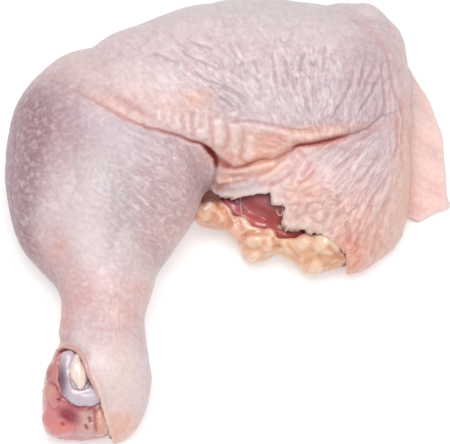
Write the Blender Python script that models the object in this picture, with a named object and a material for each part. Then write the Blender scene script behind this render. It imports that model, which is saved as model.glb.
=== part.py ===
"""A raw chicken leg, thigh and drumstick in one, lying on its inner side.

The skin is one shell over the flesh. It is torn open along the thigh's near edge, where the
dark meat and lobes of fat show, and cut open at the ankle, where the shin bone's cartilage,
a tendon and soft joint tissue show. X runs from the drumstick to the hip end, Y from the
ankle to the back of the thigh, and Z is up from the surface the leg lies on.
"""

import math

import bmesh
import bpy
import numpy as np
from mathutils import Matrix, Vector
from mathutils.bvhtree import BVHTree

# The leg is worked out in millimetres, and MM turns them into metres.
MM = 0.001
FRAME_SHIFT = Vector((-1.22, 5.9, 0.0))

# Driving dimensions: the skin's thickness, the least share of it that stays anywhere and its
# thickness where the leg rests, the gap between touching pieces, how far the round sections
# sink below the surface before the leg is cut flat there, and the joint tissue's clearance.
SKIN_WALL = 2.6
LEAST_SHARE = 0.55
FLOOR_WALL = 2.2
GAP = 0.5
FLOOR_SINK = 3.0
TISSUE_CLEAR = 0.4

# Fineness: sides and number of cross-sections, and for each blended body its voxel,
# its rounds of smoothing and the triangles it keeps.
RING_SIDES, RINGS = 48, 56
TUBE_SIDES, BALL_DETAIL = 10, 3
SKIN_FINE = (1.3, 9, 6000)
FLESH_FINE = (1.8, 5, 1600)
FAT_FINE = (0.9, 2, 1000)
TISSUE_FINE = (0.9, 2, 650)
BONE_FINE = (0.8, 3, 650)
SMOOTH_STEP = 0.5
SHARP_ANGLE = math.radians(50)
# Larger than the leg in every direction, for cutters.
BEYOND = 300.0

# Folds, cut edges and what shows at them are laid out on a plane that leans back by LEAN, so
# that it faces front and up, by central projection from a point EYE in front of it. A place
# on it is (X, rise), where rise is the distance up the plane.
LEAN = math.radians(60)
EYE = 900.0
PLANE_UP = Vector((0, math.sin(LEAN), math.cos(LEAN)))
PLANE_NORMAL = Vector((0, -math.cos(LEAN), math.sin(LEAN)))

# How square a cross-section is: 1 is an ellipse, and less is squarer.
DRUM_BLUNT, THIGH_BLUNT, APRON_BLUNT = 0.96, 0.8, 0.84

# Drumstick, from the knee to the ankle: place along Y, centre in X, half width,
# height of the widest line, height of the crest.
DRUM_STATIONS = (
    (50, -38, 5, 15, 20),
    (44.5, -38, 16.5, 15, 31),
    (37, -37, 24.0, 16, 38),
    (28, -36.2, 29.4, 16, 42.5),
    (14, -35.6, 31.8, 16, 45),
    (2, -36.2, 30.8, 16, 45.5),
    (-8, -37.2, 28, 16, 44),
    (-16, -37.8, 24.8, 15, 41),
    (-23, -37.8, 20.0, 14, 35),
    (-30, -36.5, 15.6, 13, 30),
    (-38, -36.3, 13.2, 12, 27),
    (-47, -36.4, 13.4, 12, 26.5),
    (-54, -36.7, 14.8, 12, 27.5),
    (-60, -37.6, 16.1, 11, 28),
    (-66, -38.4, 16.0, 9, 26),
    (-71, -39.3, 15.0, 7, 21),
    (-75, -40.3, 13.2, 5, 14),
    (-76.8, -39.6, 8, 4, 8),
)

# Upper thigh, from the knee to the hip end: place along X, near edge, far edge in Y,
# height of the widest line, height of the crest.
THIGH_STATIONS = (
    (-51, 25, 40, 14, 22),
    (-45, 16, 45.5, 14, 33),
    (-36, 7.5, 50, 14, 43),
    (-24, 3.5, 55.8, 14, 47.5),
    (-10, 2.5, 62, 13, 48.5),
    (5, 3, 65.8, 12, 47),
    (20, 4, 65.6, 12, 46),
    (32, 6, 64, 12, 45),
    (42, 10, 61.5, 12, 42),
    (50, 13, 57.5, 11, 37),
    (55.8, 16, 52, 10, 28),
    (57.8, 23, 45, 9, 17),
)

# Lower thigh, which the loose skin covers, set out the same way.
APRON_STATIONS = (
    (-8, 2, 36, 8, 15),
    (0, -5, 44, 8, 24),
    (12, -13, 50, 8, 30),
    (24, -18.5, 52, 6, 32.5),
    (34, -21, 54, 5, 33.5),
    (42, -20, 54, 5, 33),
    (48, -17, 53, 5, 31),
    (53, -12.5, 52, 6, 28),
    (56.3, -5.5, 48, 7, 23),
    (57.8, 4, 42, 7, 15),
)

# Skin gathered at the back of the hip end, as lumps: centre, radii.
GATHERS = (
    ((36.5, 54.0, 24.0), (10.0, 10.0, 14.0)),
    ((45.0, 53.5, 23.5), (9.5, 10.0, 14.0)),
    ((49.3, 44.5, 20.0), (8.2, 13.5, 14.0)),
)

# The loose flap at the hip end: thickness, number of points across and along it, the height
# and frequency of its waves, and where it grows out of the leg in X and at most in Z.
FLAP_THICK = 2.2
FLAP_ACROSS, FLAP_ALONG = 7, 22
FLAP_WAVE, FLAP_WAVES_PER_MM = 0.7, 0.5
FLAP_ROOT = (50.0, 16.0)
FLAP_STEEP, FLAP_LIFT = 2.6, 2.0
# Place along Y, reach in X, height there.
FLAP_STATIONS = (
    (51, 58.0, 9),
    (45, 62.2, 6),
    (38, 65.4, 4.6),
    (29, 68.0, 3.6),
    (18, 68.6, 3.0),
    (8, 69.0, 2.6),
    (4.2, 69.6, 2.4),
    (2.6, 65.0, 2.3),
    (0.6, 60.5, 2.3),
)

# The folds, as places on the leaning plane, with the thigh on the left of the way they run:
# then valley depth and half width, and the height, distance and width of the lip beside it.
FOLDS = {
    "over the knee": (
        (
            (-52, 43),
            (-40, 37.8),
            (-32.6, 33.2),
            (-24.8, 29.1),
            (-17, 27),
            (-10.9, 25.4),
            (-6.2, 23.3),
            (-3.0, 19.5),
            (-2.2, 14),
        ),
        (2.0, 1.4, 1.3, 3.4, 2.4),
    ),
    "across the thigh": (
        (
            (-2.5, 16.5),
            (2.2, 17.1),
            (6.8, 18.0),
            (11.5, 18.9),
            (15.5, 19.8),
            (18.6, 22),
            (22.3, 23.6),
            (26.4, 24.7),
            (32.6, 26.0),
            (38.8, 27.6),
            (44.3, 29.3),
            (48.5, 31.5),
        ),
        (2.0, 1.3, 1.8, 3.0, 2.1),
    ),
    "below the fold": (
        ((-2.5, 10.0), (3.1, 13.3), (8, 14.6), (13, 16.0), (18, 18.0), (22, 19.4)),
        (1.0, 1.1, 1.0, 2.0, 1.4),
    ),
}

# The share of a fold over which it fades in and out, and how much a surface has to face the
# leaning plane to take the folds at full depth.
FOLD_FADE, FULL_FACING = 0.16, 0.4

# The torn edge of the skin over the thigh's near side, from the drumstick to the hip end,
# and how the opening closes below it, clear of the drumstick.
TORN_EDGE = (
    (-8.9, 0.0),
    (-6.2, 7.1),
    (-1.0, 8.1),
    (2.5, 8.1),
    (7.8, 8.4),
    (14.4, 9.5),
    (14.9, 6.0),
    (18.6, 5.3),
    (18.4, -0.6),
    (22.5, -1.7),
    (28.5, -3.5),
    (31.0, -7.1),
    (35.7, -11.2),
    (37.2, -13.6),
    (38.0, -19.0),
)
BELOW_TEAR = ((38.0, -26.0), (-18.0, -26.0), (-16.5, -14.0), (-11.6, -6.5))

# The cut edge of the skin at the ankle, from its outer side to its tip, and beyond the tip.
ANKLE_EDGE = (
    (-62.0, -36.0),
    (-52.1, -37.5),
    (-48.7, -38.0),
    (-45.6, -40.6),
    (-42.5, -46.5),
    (-39.4, -51.5),
    (-38.1, -56.7),
    (-37.2, -60.8),
    (-36.3, -63.9),
    (-34.7, -67.9),
    (-33.0, -75.0),
)
BEYOND_ANKLE = ((-33.0, -95.0), (-70.0, -95.0))
CUTTER_DEPTHS = (-60.0, 80.0)

# Where the flesh ends at the ankle and the joint tissue starts, along Y.
FLESH_END = -50.0
# How much deeper the flesh lies in the torn opening, how much nearer the surface at the
# ankle, and over what distance from the edge.
TORN_DEEPER, ANKLE_NEARER, EDGE_BLEND = 3.0, 2.3, 6.0

# Lobes of fat under the torn edge: centre, radii.
FAT_LOBES = (
    ((-4.0, -2.6, 11.5), (6.2, 5.2, 6.6)),
    ((1.8, -4.4, 11.5), (4.6, 4.6, 6.0)),
    ((5.6, -7.6, 10.2), (4.2, 4.2, 5.4)),
    ((9.6, -9.0, 10.0), (4.4, 4.4, 5.6)),
    ((9.4, -12.6, 7.0), (4.9, 4.6, 6.2)),
    ((14.0, -12.0, 9.0), (5.0, 4.8, 6.6)),
    ((16.0, -10.5, 11.0), (4.2, 4.2, 5.4)),
    ((20.5, -14.0, 9.0), (5.6, 5.4, 6.6)),
    ((23.5, -13.5, 12.0), (5.0, 4.8, 5.4)),
    ((27.0, -16.4, 8.0), (6.4, 5.4, 6.6)),
    ((31.0, -15.6, 13.0), (4.8, 5.2, 6.6)),
    ((33.8, -17.0, 7.4), (4.4, 4.8, 6.2)),
)

# The shin bone's shaft, from the knee to the ankle: centre, radius.
SHAFT = (
    ((-31, 27, 22), 5.5),
    ((-33, 18, 20), 4.6),
    ((-35.5, -5, 17), 4.0),
    ((-36.6, -32, 14), 4.0),
    ((-38.5, -52, 14), 4.6),
    ((-42.0, -62, 14), 5.6),
    ((-45.0, -67, 13), 5.4),
)
# The rim of its cartilage, a hook round the tendon: place on the leaning plane, radius.
# It lies RIM_UNDER below the skin's outer form, on a KNOB of bone: place, depth, radii.
RIM_UNDER, TENDON_UNDER, LUMP_PROUD = 0.9, 0.3, 0.2
KNOB = ((-46.0, -49.0), 7.5, (5.2, 6.5, 5.0))
CARTILAGE = (
    ((-48.4, -41.9), 2.1),
    ((-49.0, -45.3), 2.3),
    ((-49.2, -49.0), 2.2),
    ((-48.1, -52.2), 2.7),
    ((-45.3, -54.1), 3.1),
    ((-41.9, -53.9), 3.1),
    ((-38.9, -52.8), 2.7),
)
# The tendon over it, the same way.
TENDON = (
    ((-45.0, -39.5), 1.2),
    ((-45.6, -42.2), 1.4),
    ((-45.3, -45.3), 2.0),
    ((-45.0, -48.4), 2.1),
    ((-44.8, -50.4), 1.3),
)
# Lumps of soft joint tissue: place on the leaning plane, radii across, up and through it.
TISSUE_LUMPS = (
    ((-50.8, -60.4), (5.4, 5.4, 4.5)),
    ((-51.0, -63.6), (4.8, 2.8, 4.5)),
    ((-42.6, -61.8), (3.4, 4.6, 4.0)),
    ((-38.6, -61.6), (2.8, 4.6, 4.0)),
    ((-53.6, -48.4), (1.7, 4.4, 3.0)),
    ((-54.0, -52.9), (2.2, 2.2, 3.0)),
)

# Colours and roughness of each sub-part.
FINISHES = {
    "skin": ((0.74, 0.56, 0.53), 0.4),
    "meat": ((0.42, 0.13, 0.12), 0.35),
    "fat": ((0.86, 0.6, 0.38), 0.4),
    "shin_bone": ((0.72, 0.62, 0.67), 0.3),
    "tendon": ((0.9, 0.8, 0.74), 0.35),
    "joint_tissue": ((0.62, 0.26, 0.24), 0.35),
}


def clear_scene():
    """Remove whatever the scene holds."""
    for old in list(bpy.data.objects):
        bpy.data.objects.remove(old, do_unlink=True)


def eased(stations, share):
    """The station values a share of the way along, on a smooth curve through all stations."""
    rows = np.array(stations, float)
    place = min(max(share, 0.0), 1.0) * (len(rows) - 1)
    low = min(int(place), len(rows) - 2)
    t = place - low
    before = rows[max(low - 1, 0)]
    start, end = rows[low], rows[low + 1]
    after = rows[min(low + 2, len(rows) - 1)]
    return 0.5 * (
        2 * start
        + (end - before) * t
        + (2 * before - 5 * start + 4 * end - after) * t * t
        + (3 * start - before - 3 * end + after) * t**3
    )


def smooth_path(corners, steps=6):
    """A smooth line through the corners, as an array of points."""
    pieces = (len(corners) - 1) * steps
    return np.array([eased(corners, i / pieces) for i in range(pieces + 1)])


# Places on the leaning plane.


def on_plane(place, depth):
    """The point in space that a place on the leaning plane shows, this far before the plane."""
    across, rise = place
    nearer = (EYE - depth) / EYE
    return Vector((across * nearer, 0, 0)) + PLANE_UP * (rise * nearer) + PLANE_NORMAL * depth


def flattened(points):
    """Where each point of an array shows on the leaning plane."""
    nearer = (EYE - points @ np.array(PLANE_NORMAL)) / EYE
    return np.stack([points[:, 0], points @ np.array(PLANE_UP)], axis=1) / nearer[:, None]


def beside_path(path, places):
    """Signed distance of each place from a path, positive on its left, and the share along."""
    best = np.full(len(places), math.inf)
    side, share = np.zeros(len(places)), np.zeros(len(places))
    for i, (start, end) in enumerate(zip(path, path[1:])):
        step = end - start
        offset = places - start
        t = np.clip(offset @ step / (step @ step), 0, 1)
        distance = np.linalg.norm(offset - t[:, None] * step, axis=1)
        nearer = distance < best
        best[nearer] = distance[nearer]
        side[nearer] = np.sign(step[0] * offset[:, 1] - step[1] * offset[:, 0])[nearer]
        share[nearer] = ((i + t) / (len(path) - 1))[nearer]
    return best * side, share


def seat(surface, place, depth):
    """The point this far under the surface that a place on the leaning plane shows."""
    eye = PLANE_NORMAL * EYE
    ray = (on_plane(place, 0) - eye).normalized()
    hit = surface.ray_cast(eye, ray)[0]
    return hit + ray * depth


# Making and changing meshes.


def loft(bm, rings):
    """Bridge closed rings of points, in order, into one capped body in the bmesh."""
    loops = []
    for ring in rings:
        verts = [bm.verts.new(Vector(p)) for p in ring]
        loops.append([bm.edges.new(pair) for pair in zip(verts, verts[1:] + verts[:1])])
    for near, far in zip(loops, loops[1:]):
        bmesh.ops.bridge_loops(bm, edges=near + far)
    for end in (loops[0], loops[-1]):
        bmesh.ops.edgeloop_fill(bm, edges=end)


def tube(bm, stations):
    """A round tube through the stations, each a centre and a radius."""
    centres = [Vector(centre) for centre, _ in stations]
    rings = []
    for i, (centre, (_, radius)) in enumerate(zip(centres, stations)):
        along = centres[min(i + 1, len(centres) - 1)] - centres[max(i - 1, 0)]
        side = along.cross(PLANE_NORMAL).normalized()
        up = side.cross(along).normalized()
        turns = [2 * math.pi * k / TUBE_SIDES for k in range(TUBE_SIDES)]
        rings.append([centre + (side * math.cos(a) + up * math.sin(a)) * radius for a in turns])
    loft(bm, rings)


def ball(bm, centre, radii, frame=Matrix()):
    """An ellipsoid with its radii along the frame's axes."""
    place = Matrix.Translation(centre) @ frame @ Matrix.Diagonal((*radii, 1))
    bmesh.ops.create_icosphere(bm, subdivisions=BALL_DETAIL, radius=1, matrix=place)


def as_object(name, bm):
    """Turn a bmesh in millimetres into a named object in metres."""
    bmesh.ops.recalc_face_normals(bm, faces=bm.faces)
    bm.transform(Matrix.Scale(MM, 4))
    mesh = bpy.data.meshes.new(name)
    bm.to_mesh(mesh)
    bm.free()
    made = bpy.data.objects.new(name, mesh)
    bpy.context.scene.collection.objects.link(made)
    return made


def applied(target, kind, **settings):
    """Give an object one modifier and apply it to the object's own mesh."""
    modifier = target.modifiers.new(kind.title(), kind)
    for key, value in settings.items():
        setattr(modifier, key, value)
    graph = bpy.context.evaluated_depsgraph_get()
    old = target.data
    target.data = bpy.data.meshes.new_from_object(target.evaluated_get(graph))
    target.modifiers.clear()
    bpy.data.meshes.remove(old)
    return target


def joined(target, other, operation):
    """Boolean the other object with the target, and remove the other."""
    applied(target, "BOOLEAN", operation=operation, object=other, solver="EXACT")
    bpy.data.objects.remove(other, do_unlink=True)
    return target


def blended(target, fineness):
    """Melt overlapping bodies into one by voxels, and smooth away the steps."""
    voxel, smoothing, _ = fineness
    applied(target, "REMESH", mode="VOXEL", voxel_size=voxel * MM)
    return applied(target, "SMOOTH", factor=SMOOTH_STEP, iterations=smoothing)


def thinned(target, fineness):
    """Keep about as many triangles as the fineness says."""
    triangles = fineness[-1]
    share = triangles / sum(len(face.vertices) - 2 for face in target.data.polygons)
    return applied(target, "DECIMATE", ratio=min(share, 1.0))


def points_of(target):
    """The object's vertices and their normals, in millimetres."""
    mesh = target.data
    points = np.empty(len(mesh.vertices) * 3)
    normals = np.empty(len(mesh.vertices) * 3)
    mesh.vertices.foreach_get("co", points)
    mesh.vertices.foreach_get("normal", normals)
    return points.reshape(-1, 3) / MM, normals.reshape(-1, 3)


def set_points(target, points):
    """Move the object's vertices to these places, in millimetres."""
    target.data.vertices.foreach_set("co", (points * MM).ravel())
    target.data.update()
    return target


def copied(source, name):
    """A copy of the object with its own mesh."""
    twin = bpy.data.objects.new(name, source.data.copy())
    bpy.context.scene.collection.objects.link(twin)
    return twin


def grown(source):
    """A copy of the object, larger by the gap all round, to cut its bed with."""
    points, normals = points_of(source)
    return set_points(copied(source, source.name + "_bed"), points + normals * GAP)


def tree_of(target):
    """The object's surface in millimetres, for finding points on it."""
    points, _ = points_of(target)
    faces = [tuple(face.vertices) for face in target.data.polygons]
    return BVHTree.FromPolygons([Vector(p) for p in points], faces)


def half_space(corner, axis, sign):
    """All that lies on one side of a plane across an axis, as a cutter."""
    bm = bmesh.new()
    centre = Vector()
    centre[axis] = corner + sign * BEYOND / 2
    bmesh.ops.create_cube(bm, size=BEYOND, matrix=Matrix.Translation(centre))
    return as_object("half space", bm)


def below(height):
    """All that lies below a height."""
    return half_space(height, 2, -1)


def prism(name, outline):
    """A cutter that removes all that shows inside an outline on the leaning plane."""
    bm = bmesh.new()
    loft(bm, ([on_plane(place, depth) for place in outline] for depth in CUTTER_DEPTHS))
    return as_object(name, bm)


def largest_only(target):
    """Drop the loose scraps that cutting leaves."""
    bm = bmesh.new()
    bm.from_mesh(target.data)
    left, bodies = set(bm.verts), []
    while left:
        body, edge = set(), [left.pop()]
        while edge:
            vert = edge.pop()
            body.add(vert)
            found = {e.other_vert(vert) for e in vert.link_edges} & left
            left -= found
            edge.extend(found)
        bodies.append(body)
    bodies.sort(key=len)
    bmesh.ops.delete(bm, geom=[v for body in bodies[:-1] for v in body], context="VERTS")
    bm.to_mesh(target.data)
    bm.free()
    return target


# The leg's outer form.


def section(half_width, middle, crest, blunt):
    """One closed cross-section as (across, up) pairs. It sinks a little below the surface."""
    points = []
    for i in range(RING_SIDES):
        angle = 2 * math.pi * i / RING_SIDES
        across, up = math.cos(angle), math.sin(angle)
        reach = crest - middle if up > 0 else middle + FLOOR_SINK
        points.append(
            (
                math.copysign(abs(across) ** blunt, across) * half_width,
                middle + math.copysign(abs(up) ** blunt, up) * reach,
            )
        )
    return points


def drumstick_rings():
    """Cross-sections of the drumstick, one behind the other along Y."""
    for i in range(RINGS):
        y, x, half, middle, crest = eased(DRUM_STATIONS, i / (RINGS - 1))
        outline = section(half, middle, crest, DRUM_BLUNT)
        yield [(x + across, y, up) for across, up in outline]


def thigh_rings(stations, blunt):
    """Cross-sections of a part of the thigh, side by side along X."""
    for i in range(RINGS):
        x, near, far, middle, crest = eased(stations, i / (RINGS - 1))
        outline = section((far - near) / 2, middle, crest, blunt)
        yield [(x, (far + near) / 2 + across, up) for across, up in outline]


def leg_form():
    """The smooth outer form of drumstick and thigh, with no folds yet."""
    bm = bmesh.new()
    loft(bm, drumstick_rings())
    loft(bm, thigh_rings(THIGH_STATIONS, THIGH_BLUNT))
    loft(bm, thigh_rings(APRON_STATIONS, APRON_BLUNT))
    for centre, radii in GATHERS:
        ball(bm, centre, radii)
    return blended(as_object("skin", bm), SKIN_FINE)


def fold_heights(points, normals):
    """How far out each point of the surface stands because of the folds."""
    places = flattened(points)
    facing = np.clip(normals @ np.array(PLANE_NORMAL) / FULL_FACING, 0, 1)
    heights = np.zeros(len(points))
    for corners, (depth, width, lip, lip_at, lip_width) in FOLDS.values():
        side, share = beside_path(smooth_path(corners), places)
        fade = np.clip(np.minimum(share, 1 - share) / FOLD_FADE, 0, 1)
        valley = depth * np.exp(-((side / width) ** 2))
        ridge = lip * np.exp(-(((side - lip_at) / lip_width) ** 2))
        heights += fade * (ridge - valley)
    return heights * facing


def folded(target):
    """Press the folds into the object."""
    points, normals = points_of(target)
    return set_points(target, points + fold_heights(points, normals)[:, None] * normals)


def flap():
    """The thin loose flap of skin at the hip end, rooted inside the leg."""
    bm = bmesh.new()
    rings = []
    root_x, root_z = FLAP_ROOT
    shares = np.linspace(0, 1, FLAP_ACROSS)
    for along_share in np.linspace(0, 1, FLAP_ALONG):
        y, reach, height = eased(FLAP_STATIONS, along_share)
        wave = FLAP_WAVE * math.sin(FLAP_WAVES_PER_MM * y)
        start = min(root_z, FLAP_STEEP * height + FLAP_LIFT)
        rise = [height + (start - height) * (1 - t) ** 2 + wave * t * t for t in shares]
        along = [root_x + (reach - root_x) * t for t in shares]
        upper = [(x, y, z + FLAP_THICK / 2) for x, z in zip(along, rise)]
        lower = [(x, y, z - FLAP_THICK / 2) for x, z in zip(along, rise)]
        rings.append(upper + lower[::-1])
    loft(bm, rings)
    return as_object("flap", bm)


# What is under the skin.


def flesh_form(form):
    """All that the skin covers: the leg's form drawn in by the skin's wall."""
    flesh = copied(form, "flesh")
    points, normals = points_of(flesh)
    set_points(flesh, points - skin_wall(points)[:, None] * normals)
    return blended(flesh, FLESH_FINE)


def skin_wall(points):
    """How deep the flesh lies under the outer form at each point."""
    places = flattened(points)
    torn, _ = beside_path(np.array(TORN_EDGE), places)
    ankle, _ = beside_path(np.array(ANKLE_EDGE), places)
    reach = (places[:, 0] > TORN_EDGE[0][0]) & (places[:, 0] < TORN_EDGE[-1][0])
    deeper = TORN_DEEPER * np.clip(-torn / EDGE_BLEND, 0, 1) * reach
    nearer = ANKLE_NEARER * np.clip(-ankle / EDGE_BLEND, 0, 1) * (points[:, 1] < FLESH_END)
    return SKIN_WALL + deeper - nearer


def kept_inside(flesh, surface):
    """Push the flesh in wherever the skin over it would be thinner than its least wall."""
    points, _ = points_of(flesh)
    for i, wall in enumerate(skin_wall(points) * LEAST_SHARE):
        near, normal, _, _ = surface.find_nearest(Vector(points[i]))
        if (Vector(points[i]) - near).dot(normal) > -wall:
            points[i] = near - normal * wall
    return set_points(flesh, points)


def split_flesh(flesh):
    """The flesh as meat, and its end at the ankle as joint tissue, with a gap between."""
    parts = []
    for name, start, sign in (("meat", FLESH_END, 1), ("joint_tissue", FLESH_END - GAP, -1)):
        part = joined(copied(flesh, name), half_space(start, 1, sign), "INTERSECT")
        parts.append(largest_only(part))
    return parts


def plane_frame():
    """Axes across, up and through the leaning plane, as a turn for an ellipsoid."""
    return Matrix((Vector((1, 0, 0)), PLANE_UP, PLANE_NORMAL)).transposed().to_4x4()


def shin_bone(surface):
    """The shin bone, with the cartilage at its ankle end."""
    bm = bmesh.new()
    tube(bm, SHAFT)
    for centre, radius in (SHAFT[0], SHAFT[-1]):
        ball(bm, centre, (radius,) * 3)
    rim = [(seat(surface, place, radius + RIM_UNDER), radius) for place, radius in CARTILAGE]
    tube(bm, rim)
    for centre, radius in (rim[0], rim[-1]):
        ball(bm, centre, (radius,) * 3)
    place, depth, radii = KNOB
    ball(bm, seat(surface, place, depth), radii, plane_frame())
    return thinned(blended(as_object("shin_bone", bm), BONE_FINE), BONE_FINE)


def tendon(surface):
    """The tendon that lies in the hook of the cartilage."""
    bm = bmesh.new()
    tube(bm, [(seat(surface, place, radius + TENDON_UNDER), radius) for place, radius in TENDON])
    return as_object("tendon", bm)


def joint_tissue(base, surface):
    """The soft tissue round the cut joint: the flesh's end, with lumps where it is cut."""
    bm = bmesh.new()
    bm.from_mesh(base.data)
    bpy.data.objects.remove(base, do_unlink=True)
    bm.transform(Matrix.Scale(1 / MM, 4))
    for place, radii in TISSUE_LUMPS:
        ball(bm, seat(surface, place, radii[2] - LUMP_PROUD), radii, plane_frame())
    return thinned(blended(as_object("joint_tissue", bm), TISSUE_FINE), TISSUE_FINE)


def fat():
    """The lobes of fat along the thigh's near edge."""
    bm = bmesh.new()
    for centre, radii in FAT_LOBES:
        ball(bm, centre, radii)
    return thinned(blended(as_object("fat", bm), FAT_FINE), FAT_FINE)


def finished(target):
    """Give a sub-part its material, smooth shading and its place in the frame."""
    colour, roughness = FINISHES[target.name]
    material = bpy.data.materials.new(target.name)
    material.use_nodes = True
    shader = material.node_tree.nodes["Principled BSDF"]
    shader.inputs["Base Color"].default_value = (*colour, 1)
    shader.inputs["Roughness"].default_value = roughness
    shader.inputs["Metallic"].default_value = 0.0
    target.data.materials.clear()
    target.data.materials.append(material)
    target.data.transform(Matrix.Translation(FRAME_SHIFT * MM))
    target.data.shade_smooth()
    target.data.set_sharp_from_angle(angle=SHARP_ANGLE)


def main():
    """Build the whole leg: the form, what fills it, then the skin cut to fit."""
    clear_scene()
    skin = folded(leg_form())
    flesh = flesh_form(skin)
    surface = tree_of(thinned(skin, SKIN_FINE))
    thinned(kept_inside(flesh, surface), FLESH_FINE)
    joined(flesh, below(FLOOR_WALL), "DIFFERENCE")
    meat, tissue_base = split_flesh(flesh)
    tissue = joined(joint_tissue(tissue_base, surface), below(TISSUE_CLEAR), "DIFFERENCE")
    bone = shin_bone(surface)
    strand = tendon(surface)
    lobes = fat()

    joined(skin, flap(), "UNION")
    joined(skin, below(0), "DIFFERENCE")
    joined(skin, grown(flesh), "DIFFERENCE")
    joined(skin, prism("tear", TORN_EDGE + BELOW_TEAR), "DIFFERENCE")
    joined(skin, prism("ankle cut", ANKLE_EDGE + BEYOND_ANKLE), "DIFFERENCE")
    for inner in (tissue, bone, strand, lobes):
        joined(skin, grown(inner), "DIFFERENCE")
    joined(lobes, grown(flesh), "DIFFERENCE")
    joined(tissue, grown(bone), "DIFFERENCE")
    joined(meat, grown(bone), "DIFFERENCE")
    for under in (tissue, bone):
        joined(under, grown(strand), "DIFFERENCE")
    bpy.data.objects.remove(flesh, do_unlink=True)
    for node in (skin, meat, lobes, bone, strand, tissue):
        finished(largest_only(node))


main()
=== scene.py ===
"""The looks of a raw chicken leg: wrinkled skin, dark meat, lobes of fat and the cut ankle.

Places on the leg are laid out in millimetres on a plane that faces front and up, as (X, rise).
The skin is lofted from the same stations as the solids, then folded, pleated, wrinkled and cut
open. What lies under it starts from the solids themselves.
"""

from __future__ import annotations

import logging
import math
import random
from collections.abc import Callable, Iterator
from contextlib import contextmanager
from dataclasses import dataclass, field
from enum import Enum
from typing import ClassVar

import bmesh
import bpy
import numpy as np
from mathutils import Matrix, Vector, noise
from mathutils.bvhtree import BVHTree
from mathutils.kdtree import KDTree


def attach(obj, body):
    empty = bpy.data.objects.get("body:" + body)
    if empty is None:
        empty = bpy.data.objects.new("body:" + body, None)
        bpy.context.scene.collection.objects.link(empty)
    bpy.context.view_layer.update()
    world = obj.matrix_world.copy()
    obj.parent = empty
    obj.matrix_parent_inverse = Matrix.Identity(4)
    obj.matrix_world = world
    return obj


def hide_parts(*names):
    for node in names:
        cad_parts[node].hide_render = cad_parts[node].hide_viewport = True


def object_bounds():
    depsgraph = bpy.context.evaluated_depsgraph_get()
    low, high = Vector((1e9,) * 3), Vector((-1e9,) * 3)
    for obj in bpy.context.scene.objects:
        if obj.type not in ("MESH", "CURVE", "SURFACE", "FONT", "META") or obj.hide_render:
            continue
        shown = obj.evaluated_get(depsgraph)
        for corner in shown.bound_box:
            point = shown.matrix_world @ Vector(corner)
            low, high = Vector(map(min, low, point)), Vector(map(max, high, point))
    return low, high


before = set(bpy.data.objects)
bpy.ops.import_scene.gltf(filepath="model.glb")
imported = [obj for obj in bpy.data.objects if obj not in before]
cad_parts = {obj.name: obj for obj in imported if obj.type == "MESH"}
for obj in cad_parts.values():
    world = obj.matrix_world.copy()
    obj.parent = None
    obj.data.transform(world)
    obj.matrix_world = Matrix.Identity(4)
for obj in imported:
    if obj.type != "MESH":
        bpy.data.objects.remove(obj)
CAD_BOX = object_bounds()

MM = 0.001
# Where the leg's own origin lies in the frame, in millimetres.
FRAME_SHIFT = np.array((-1.22, 5.9, 0.0))
PICTURE_WIDTH = 450
MM_PER_PIXEL = 0.31

Thing = bpy.types.Object
Draft = bmesh.types.BMesh
Array = np.ndarray
Place = tuple[float, float]
Line = tuple[Place, ...]
Point = tuple[float, float, float]
Colour = tuple[float, float, float]
Region = Callable[[Array], Array]

log = logging.getLogger("chicken_leg")


# The leaning plane and lines on it.


@dataclass(frozen=True)
class LeaningPlane:
    """The plane through the leg's origin that faces front and up, seen from one point."""

    lean: float = math.radians(60)
    eye: float = 900.0

    @property
    def up(self) -> Array:
        """The direction that rises along the plane."""
        return np.array((0.0, math.sin(self.lean), math.cos(self.lean)))

    @property
    def normal(self) -> Array:
        """The direction that the plane faces."""
        return np.array((0.0, -math.cos(self.lean), math.sin(self.lean)))

    def point(self, place: Place, depth: float = 0.0) -> Array:
        """Find the point in space that a place shows.

        Args:
            place: the place on the plane.
            depth: how far in front of the plane the point lies.

        Returns:
            The point, in millimetres.
        """
        nearer = (self.eye - depth) / self.eye
        across = np.array((place[0] * nearer, 0.0, 0.0))
        return across + self.up * (place[1] * nearer) + self.normal * depth

    def places(self, points: Array) -> Array:
        """Find where points show on the plane.

        Args:
            points: an array of points in millimetres.

        Returns:
            An array of places.
        """
        nearer = (self.eye - points @ self.normal) / self.eye
        return np.stack([points[:, 0], points @ self.up], axis=1) / nearer[:, None]

    def shifts(self, steps: Array) -> Array:
        """Turn steps on the plane into steps in space."""
        return steps[:, :1] * np.array((1.0, 0.0, 0.0)) + steps[:, 1:] * self.up


PLANE = LeaningPlane()
# From what depth to what depth a cutter reaches.
CUTTER_DEPTHS = (-60.0, 80.0)
# How far a normal leans towards the plane's own where a point counts as facing it fully.
FULL_FACING = 0.4


def eased(stations: Array | tuple, share: float) -> Array:
    """Read a smooth curve through stations.

    Args:
        stations: rows of numbers.
        share: how far along, from 0 to 1.

    Returns:
        The row of numbers there.
    """
    rows = np.array(stations, float)
    place = min(max(share, 0.0), 1.0) * (len(rows) - 1)
    low = min(int(place), len(rows) - 2)
    t = place - low
    before, start = rows[max(low - 1, 0)], rows[low]
    end, after = rows[low + 1], rows[min(low + 2, len(rows) - 1)]
    bend = (2 * before - 5 * start + 4 * end - after) * t * t
    twist = (3 * start - before - 3 * end + after) * t**3
    return 0.5 * (2 * start + (end - before) * t + bend + twist)


def smooth_line(corners: Line, steps: int = 6) -> Array:
    """A smooth line of points through corners."""
    pieces = (len(corners) - 1) * steps
    return np.array([eased(corners, i / pieces) for i in range(pieces + 1)])


@dataclass
class Beside:
    """How places lie beside a line."""

    side: Array
    share: Array
    away: Array


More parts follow.
